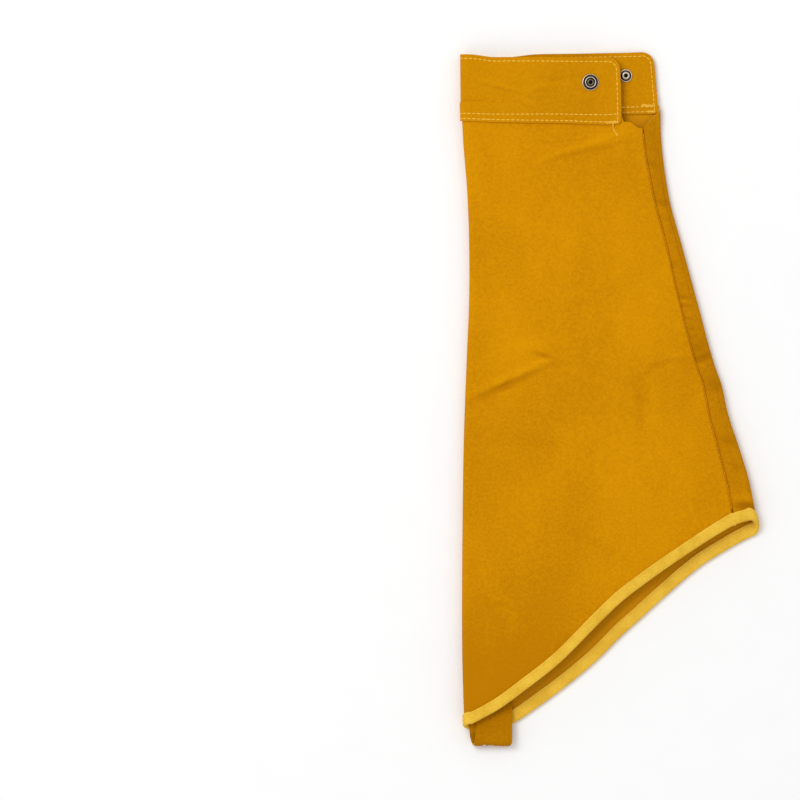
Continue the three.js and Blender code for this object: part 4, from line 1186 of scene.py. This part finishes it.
def tape_stitches():
    """The fine row that holds the tape, near its inner edge, on the faces that show."""
    seams = []
    for part, face, start, end in (
        ("upper", 1, 0.0, 1.0), ("lower", 1, 0.02, 0.99), ("lower", -1, 0.17, 0.99),
        ("strip", 1, 0.0, 0.6), ("long_fold", 1, 0.0, 1.0), ("short_fold", 1, 0.0, 1.0),
        ("short_fold", -1, 0.05, 0.95),
    ):
        samples = []
        for share in np.linspace(start, end, 120):
            leg = (TAPE if face > 0 else TAPE_UNDER) * slant_at(part, share)
            offset = face * (TAPE_OFF + TAPE_THICK / 2 + 0.1)
            samples.append((part, share, float(hem_at(part, share)) - leg * 0.8, offset))
        seams.append(seam_along(samples, TAPE_PITCH, lift=-0.05, face=face))
    return stitches("binding_stitching", seams, 2.2, 0.55, 0.4, material=TAPE_THREAD)


def tack(centre, along, up, length, width, count=13):
    """A bar tack: short cross stitches packed side by side."""
    along, up = np.array(along, float), np.array(up, float)
    spots = np.array(centre) + np.linspace(-0.5, 0.5, count)[:, None] * length * along
    cross = np.cross(up, along)
    wobble = np.random.default_rng(count).normal(0, 0.09, (count, 1))
    spots = spots + cross * wobble * width
    ways = cross + along * np.where(np.arange(count) % 2, 0.22, -0.22)[:, None]
    return spots, ways / np.linalg.norm(ways, axis=1, keepdims=True), np.repeat(up[None], count, 0)


def surface_spot(sample, lift=0.0):
    part, share, down, offset = sample
    return off_tube(part, share, down, np.asarray(offset + lift)), normal_at(part, share, down)


def tacks():
    """Bar tacks at the flaps' corners by the slit, and the one that holds the loop's ends."""
    x = UPPER_END - 7.5
    spot, up = surface_spot(band_spot("upper", 1, x, row_down("low", x, "upper") + 0.5), 0.1)
    seams = [tack(spot, (1, 0.02, 0), up, 9.5, 2.2, 15)]
    back = ((8.0, "high", 0.9, 11.0, 18), (5.6, "low", 0.0, 6.0, 10))
    for inset, row, above, long, count in back:
        x = LOWER_END - inset
        beside = band_spot("lower", -1, x, row_down(row, x, "lower") - above)
        spot, up = surface_spot(beside, -0.1)
        seams.append(tack(spot, (1, -0.08, 0), -up, long, 2.0, count))
    spot, up = surface_spot(under_spot(LOOP_IN + LOOP_WIDE / 2, LONG_SIDE - LOOP_TACK), -0.05)
    seams.append(tack(spot, (1, 0, 0), up, 21, 2.4, 26))
    return stitches("bar_tacks", seams, 2.3, 0.62, 0.6, 0.2, 5)


def loose_thread(name, points, radius=0.42):
    """A thread end that was left long: a round strand through those points."""
    points = np.array(points, float)
    keys = np.r_[0, np.cumsum(np.linalg.norm(np.diff(points, axis=0), axis=1))]
    table = np.c_[keys, points].tolist()
    fine = np.linspace(0, keys[-1], 46)
    path = np.stack([line_through(table, k)(fine) for k in (1, 2, 3)], 1)
    ahead = np.gradient(path, axis=0)
    ahead /= np.linalg.norm(ahead, axis=1, keepdims=True)
    side = np.cross(ahead, (0.1, 0.05, 1.0))
    side /= np.linalg.norm(side, axis=1, keepdims=True)
    up = np.cross(side, ahead)
    sides = 8
    rings = []
    for k in range(sides):
        angle = 2 * math.pi * k / sides
        rings.append(path + (side * math.cos(angle) + up * math.sin(angle)) * radius)
    grid = np.stack(rings, 1)
    count = len(path)
    faces = []
    for i in range(count - 1):
        a, b = i * sides, (i + 1) * sides
        faces += [(a + k, a + (k + 1) % sides, b + (k + 1) % sides, b + k) for k in range(sides)]
    last = (count - 1) * sides
    faces += [tuple(range(sides - 1, -1, -1)), tuple(last + k for k in range(sides))]
    return make_mesh(name, to_row(grid.reshape(-1, 3)), faces, [THREAD], sharp=60)


def turned_part(name, profile, seat):
    """A lathe-turned snap part: profile holds radius, height and how much that place is rubbed."""
    centre, up = seat
    sides = 72
    closed = profile[0][0] > 0
    angles = [2 * math.pi * k / sides for k in range(sides)]
    ring = np.array([(math.cos(angle), math.sin(angle)) for angle in angles])
    up = up / np.linalg.norm(up)
    right = np.cross((0.0, 1.0, 0.0), up)
    right /= np.linalg.norm(right)
    forward = np.cross(up, right)
    points, rub = [], []
    rows = profile if closed else profile[1:-1]
    for radius, z, worn in rows:
        east, north = ring[:, :1] * radius * right, ring[:, 1:] * radius * forward
        points.append(centre + east + north + up * z)
        rub += [worn] * sides
    count = len(rows)
    faces = []
    for i in range(count if closed else count - 1):
        a, b = i * sides, ((i + 1) % count) * sides
        faces += [(a + k, a + (k + 1) % sides, b + (k + 1) % sides, b + k) for k in range(sides)]
    points = np.concatenate(points)
    if not closed:
        for end, base, turn in ((profile[0], 0, -1), (profile[-1], (count - 1) * sides, 1)):
            points = np.vstack([points, centre + up * end[1]])
            rub.append(end[2])
            tip = len(points) - 1
            faces += [(tip, base + (k + 1) % sides, base + k)[::turn] for k in range(sides)]
    return make_mesh(name, to_row(points), faces, [METAL], [("rub", "POINT", rub)], sharp=50)


def rounded(profile, reach=0.13):
    """The profile with its corners cut, so that the rims catch the light."""
    out = [profile[0]]
    for before, here, after in zip(profile, profile[1:], profile[2:]):
        cuts = []
        for other in (before, after):
            long = math.dist(here[:2], other[:2])
            share = min(reach, long * 0.4) / long
            cuts.append((mix(here[0], other[0], share), mix(here[1], other[1], share)))
        middle = [here[k] * 0.5 + (cuts[0][k] + cuts[1][k]) * 0.25 for k in (0, 1)]
        out += [(*cuts[0], here[2]), (*middle, here[2]), (*cuts[1], here[2])]
    return out + [profile[-1]]


def snap_parts():
    """The socket and its post on the upper flap, the stud and its cap on the lower one."""
    upper, lower = SEATS["upper"], SEATS["lower"]
    rim, inner = PLATE_TOP + COLLAR_HIGH, COLLAR - 0.75
    roll = PLATE_TOP + GAP
    made = {}
    made["snap_socket"] = turned_part("snap_socket_ring", rounded([
        (HOLE, SEAT, 0), (SOCKET, SEAT, 0), (SOCKET, PLATE_TOP - 0.2, 0.7),
        (SOCKET - 0.45, PLATE_TOP + 0.02, 0.75), (SOCKET - 0.75, PLATE_TOP, 0.0),
        (COLLAR + 0.2, PLATE_TOP - 0.1, 0.0), (COLLAR, rim - 0.3, 0.4), (COLLAR - 0.25, rim, 1.0),
        (inner + 0.1, rim, 0.9), (inner - 0.15, rim - 0.35, 0.1), (inner, PLATE_TOP, 0.0),
        (HOLE, PLATE_TOP, 0.0), (HOLE, SEAT + 0.1, 0),
    ]), upper)
    made["snap_post"] = turned_part("snap_post_eyelet", rounded([
        (0, -PLATE_TOP, 0.6), (POST - 0.5, -PLATE_TOP, 0.6), (POST, -PLATE_TOP + 0.35, 0.8),
        (POST, -SEAT, 0.1), (BARREL, -SEAT, 0), (BARREL, roll, 0), (ROLL - 0.1, roll, 0.1),
        (ROLL, roll + ROLL_HIGH / 2, 0.45), (ROLL - 0.3, roll + ROLL_HIGH, 0.5),
        (BARREL - 0.3, roll + ROLL_HIGH, 0.35), (BORE, roll + ROLL_HIGH / 2, 0.0),
        (BORE, -SEAT - 0.1, 0.0), (0, -SEAT - 0.1, 0.0),
    ]), upper)
    top = PLATE_TOP + KNOB_HIGH
    made["snap_stud"] = turned_part("snap_stud_knob", rounded([
        (HOLE, SEAT, 0), (STUD, SEAT, 0), (STUD, PLATE_TOP - 0.2, 0.3),
        (STUD - 0.35, PLATE_TOP, 0.9), (STUD - 0.75, PLATE_TOP, 0.7), (STUD - 1.0, PLATE_TOP, 0.0),
        (KNOB - 0.1, PLATE_TOP + 0.25, 0.0), (KNOB - 0.3, PLATE_TOP + KNOB_HIGH * 0.4, 0.1),
        (KNOB, PLATE_TOP + KNOB_HIGH * 0.75, 0.7), (KNOB - 0.25, top, 0.9), (HOLE, top, 0.3),
        (HOLE, SEAT + 0.1, 0),
    ]), lower)
    floor, roll = -SEAT - CAP_RISE, top + GAP
    made["snap_cap"] = turned_part("snap_cap_dome", rounded([
        (0, floor, 0.8), (CAP * 0.5, floor + 0.1, 0.7), (CAP * 0.85, floor + CAP_RISE * 0.35, 0.5),
        (CAP, floor + CAP_RISE * 0.75, 0.8), (CAP, -SEAT, 0.1), (BARREL, -SEAT, 0),
        (BARREL, roll, 0), (ROLL, roll, 0.2), (ROLL + 0.1, roll + ROLL_HIGH / 2, 0.8),
        (ROLL - 0.2, roll + ROLL_HIGH, 1.0), (BARREL - 0.3, roll + ROLL_HIGH, 0.7),
        (BORE, roll + ROLL_HIGH / 2, 0.1), (BORE, -SEAT - 0.1, 0.0), (0, -SEAT - 0.1, 0.0),
    ]), lower)
    return made


def punch(strip):
    """The barrels' holes through a strip of the cuff."""
    for centre, up in SEATS.values():
        bpy.ops.mesh.primitive_cylinder_add(vertices=32, radius=HOLE / PER_METRE, depth=0.014)
        tool = bpy.context.object
        tool.matrix_world = Vector(up).to_track_quat("Z", "Y").to_matrix().to_4x4()
        tool.location = to_row(centre)
        bpy.context.view_layer.update()
        cut = strip.modifiers.new("hole", "BOOLEAN")
        cut.object, cut.operation, cut.solver = tool, "DIFFERENCE", "EXACT"
        applied(strip, cut)
        bpy.data.objects.remove(tool)
    return strip


def edge_fuzz(name, rims, density, reach, seed, material):
    """Short raw fibres along cut edges. A rim holds points and outward directions."""
    draw = np.random.default_rng(seed)
    points, faces = [], []
    for path, outward in rims:
        gone = np.r_[0, np.cumsum(np.linalg.norm(np.diff(path, axis=0), axis=1))]
        for at in draw.uniform(0, gone[-1], int(gone[-1] * density)):
            root = np.array([np.interp(at, gone, path[:, k]) for k in range(3)])
            away = np.array([np.interp(at, gone, outward[:, k]) for k in range(3)])
            away = away + draw.normal(0, 0.55, 3)
            away /= np.linalg.norm(away)
            long = reach * draw.uniform(0.35, 1.0)
            bend = draw.normal(0, 0.3, 3) * long
            aside = np.cross(away, draw.normal(0, 1, 3))
            aside /= np.linalg.norm(aside)
            base = len(points)
            root = root - away * 0.15
            for share, wide in ((0, 0.06), (0.5, 0.05)):
                spine = root + away * long * share + bend * share**2
                points += [spine + aside * wide, spine - aside * wide]
            points.append(root + away * long + bend)
            faces += [(base, base + 1, base + 3, base + 2), (base + 2, base + 3, base + 4)]
    return make_mesh(name, to_row(points), faces, [material])


def raw_edges():
    """Cut edges that show: the flaps' ends, the front flap's bottom, the loop's sides and fold."""
    rim = lambda path, outward: (path, np.tile(outward, (len(path), 1)))
    rims = []
    for flap, side, end in (("upper", 1, UPPER_END), ("lower", -1, LOWER_END)):
        top, bottom = row_down("top", end, flap) + CORNER - 3, row_down("low", end, flap) - 1
        spots = [band_spot(flap, side, end, down) for down in np.linspace(top, bottom, 30)]
        path = np.array([surface_spot(spot, -0.7 * side)[0] for spot in spots])
        rims.append(rim(path, (1.0, 0.0, 0.25)))
    xs = np.linspace(20, UPPER_END - HEEL, 60)
    spots = [band_spot("upper", 1, x, band_bottom("upper", x)) for x in xs]
    path = np.array([surface_spot(spot, -0.6)[0] for spot in spots])
    rims.append(rim(path, (0.0, -1.0, 0.1)))
    hem = loop_hem()
    xs = np.linspace(LOOP_IN - 0.4, LOOP_IN + LOOP_WIDE, 20)
    fold = -(hem + LOOP_FOLD * LOOP_LONG + LOOP_THICK / 2)
    path = np.stack([xs, np.full_like(xs, fold), np.full_like(xs, 0.55 * LOOP_HIGH)], 1)
    rims += [rim(path, (0.0, -1.0, 0.3))] * 2
    ys = -(hem + np.linspace(-0.05, 0.28, 12) * LOOP_LONG)
    for x, up, outward, times in (
        (LOOP_IN + LOOP_WIDE, 0.86, (1.0, 0.0, 0.2), 1), (LOOP_IN + 0.7, 0.97, (-0.6, 0.0, 0.5), 2),
    ):
        path = np.stack([np.full_like(ys, x), ys, np.full_like(ys, up * LOOP_HIGH)], 1)
        rims += [rim(path, outward)] * times
    return rims


made = snap_parts()
pieces = {
    "front_panel": front_panel([SUEDE]),
    "back_panel": back_panel([SHADED_BACK_SUEDE]),
    "cuff_band_outer": punch(cuff_strip("cuff_strip_outside", 1, [CUFF])),
    "cuff_band_inner": punch(cuff_strip("cuff_strip_inside", -1, [CUFF])),
    "hem_binding": hem_tape([TAPE_CLOTH]),
    "tie_loop": tie_loop([STRAP]),
    **made,
}
for node, piece in pieces.items():
    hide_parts(node)
    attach(piece, "root")


sewn = [cuff_stitches(), lap_stitches(), plain_seam_stitches(), tape_stitches(), tacks()]

x = UPPER_END - 6.8
start = surface_spot(band_spot("upper", 1, x, row_down("low", x, "upper") + 0.9), 0.35)[0]
steps = (
    (0, 0, 0), (-0.2, -1.7, 0.15), (-0.2, -4.0, -1.0), (0.2, -5.3, -1.5), (1.7, -8.0, -1.6),
    (4.0, -11.4, -1.7),
)
sewn.append(loose_thread("thread_end_at_the_flap", [start + step for step in steps]))
start = surface_spot(under_spot(25.0, LONG_SIDE - LOOP_TACK), 0.1)[0]
for k, (dx, dy) in enumerate(((-13, -9), (-8, -15))):
    bend = [start, start + (dx * 0.4, dy * 0.2, -0.05), start + (dx, dy, -0.05)]
    sewn.append(loose_thread(f"thread_end_at_the_loop_{k + 1}", bend))


sewn.append(edge_fuzz("raw_fibres", raw_edges(), 2.6, 0.95, 11, FIBRE))
for piece in sewn:
    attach(piece, "root")


bpy.ops.mesh.primitive_plane_add(size=8, location=(0, 0, -0.0006))
table = bpy.context.object
table.name = "table"
table.data.materials.append(PAPER)

scene = bpy.context.scene
scene.view_settings.view_transform = "Standard"
world = bpy.data.worlds.new("soft room")
world.use_nodes = True
room_light = world.node_tree.nodes["Background"].inputs
room_light["Color"].default_value = (1.0, 1.0, 1.0, 1.0)
room_light["Strength"].default_value = 0.72
scene.world = world


def lamp(name, place, size, power):
    data = bpy.data.lights.new(name, "AREA")
    data.shape, data.size, data.energy = "SQUARE", size, power
    obj = bpy.data.objects.new(name, data)
    obj.location = place
    obj.rotation_euler = (-Vector(place)).to_track_quat("-Z", "Y").to_euler()
    scene.collection.objects.link(obj)


lamp("window", (-1.5, 1.2, 3.1), 1.8, 52)

# The photograph's camera: straight above, 680 mm across, its middle left of the sleeve.
SPAN, HEIGHT, SENSOR = 0.680, 6.0, 36.0
middle = to_row([(-50.15, -295.5, 0)])[0]
data = bpy.data.cameras.new("camera")
data.sensor_width = SENSOR
data.lens = SENSOR * HEIGHT / SPAN
data.clip_end = 20.0
camera = bpy.data.objects.new("camera", data)
camera.location = (middle[0], middle[1], HEIGHT)
scene.collection.objects.link(camera)
scene.camera = camera
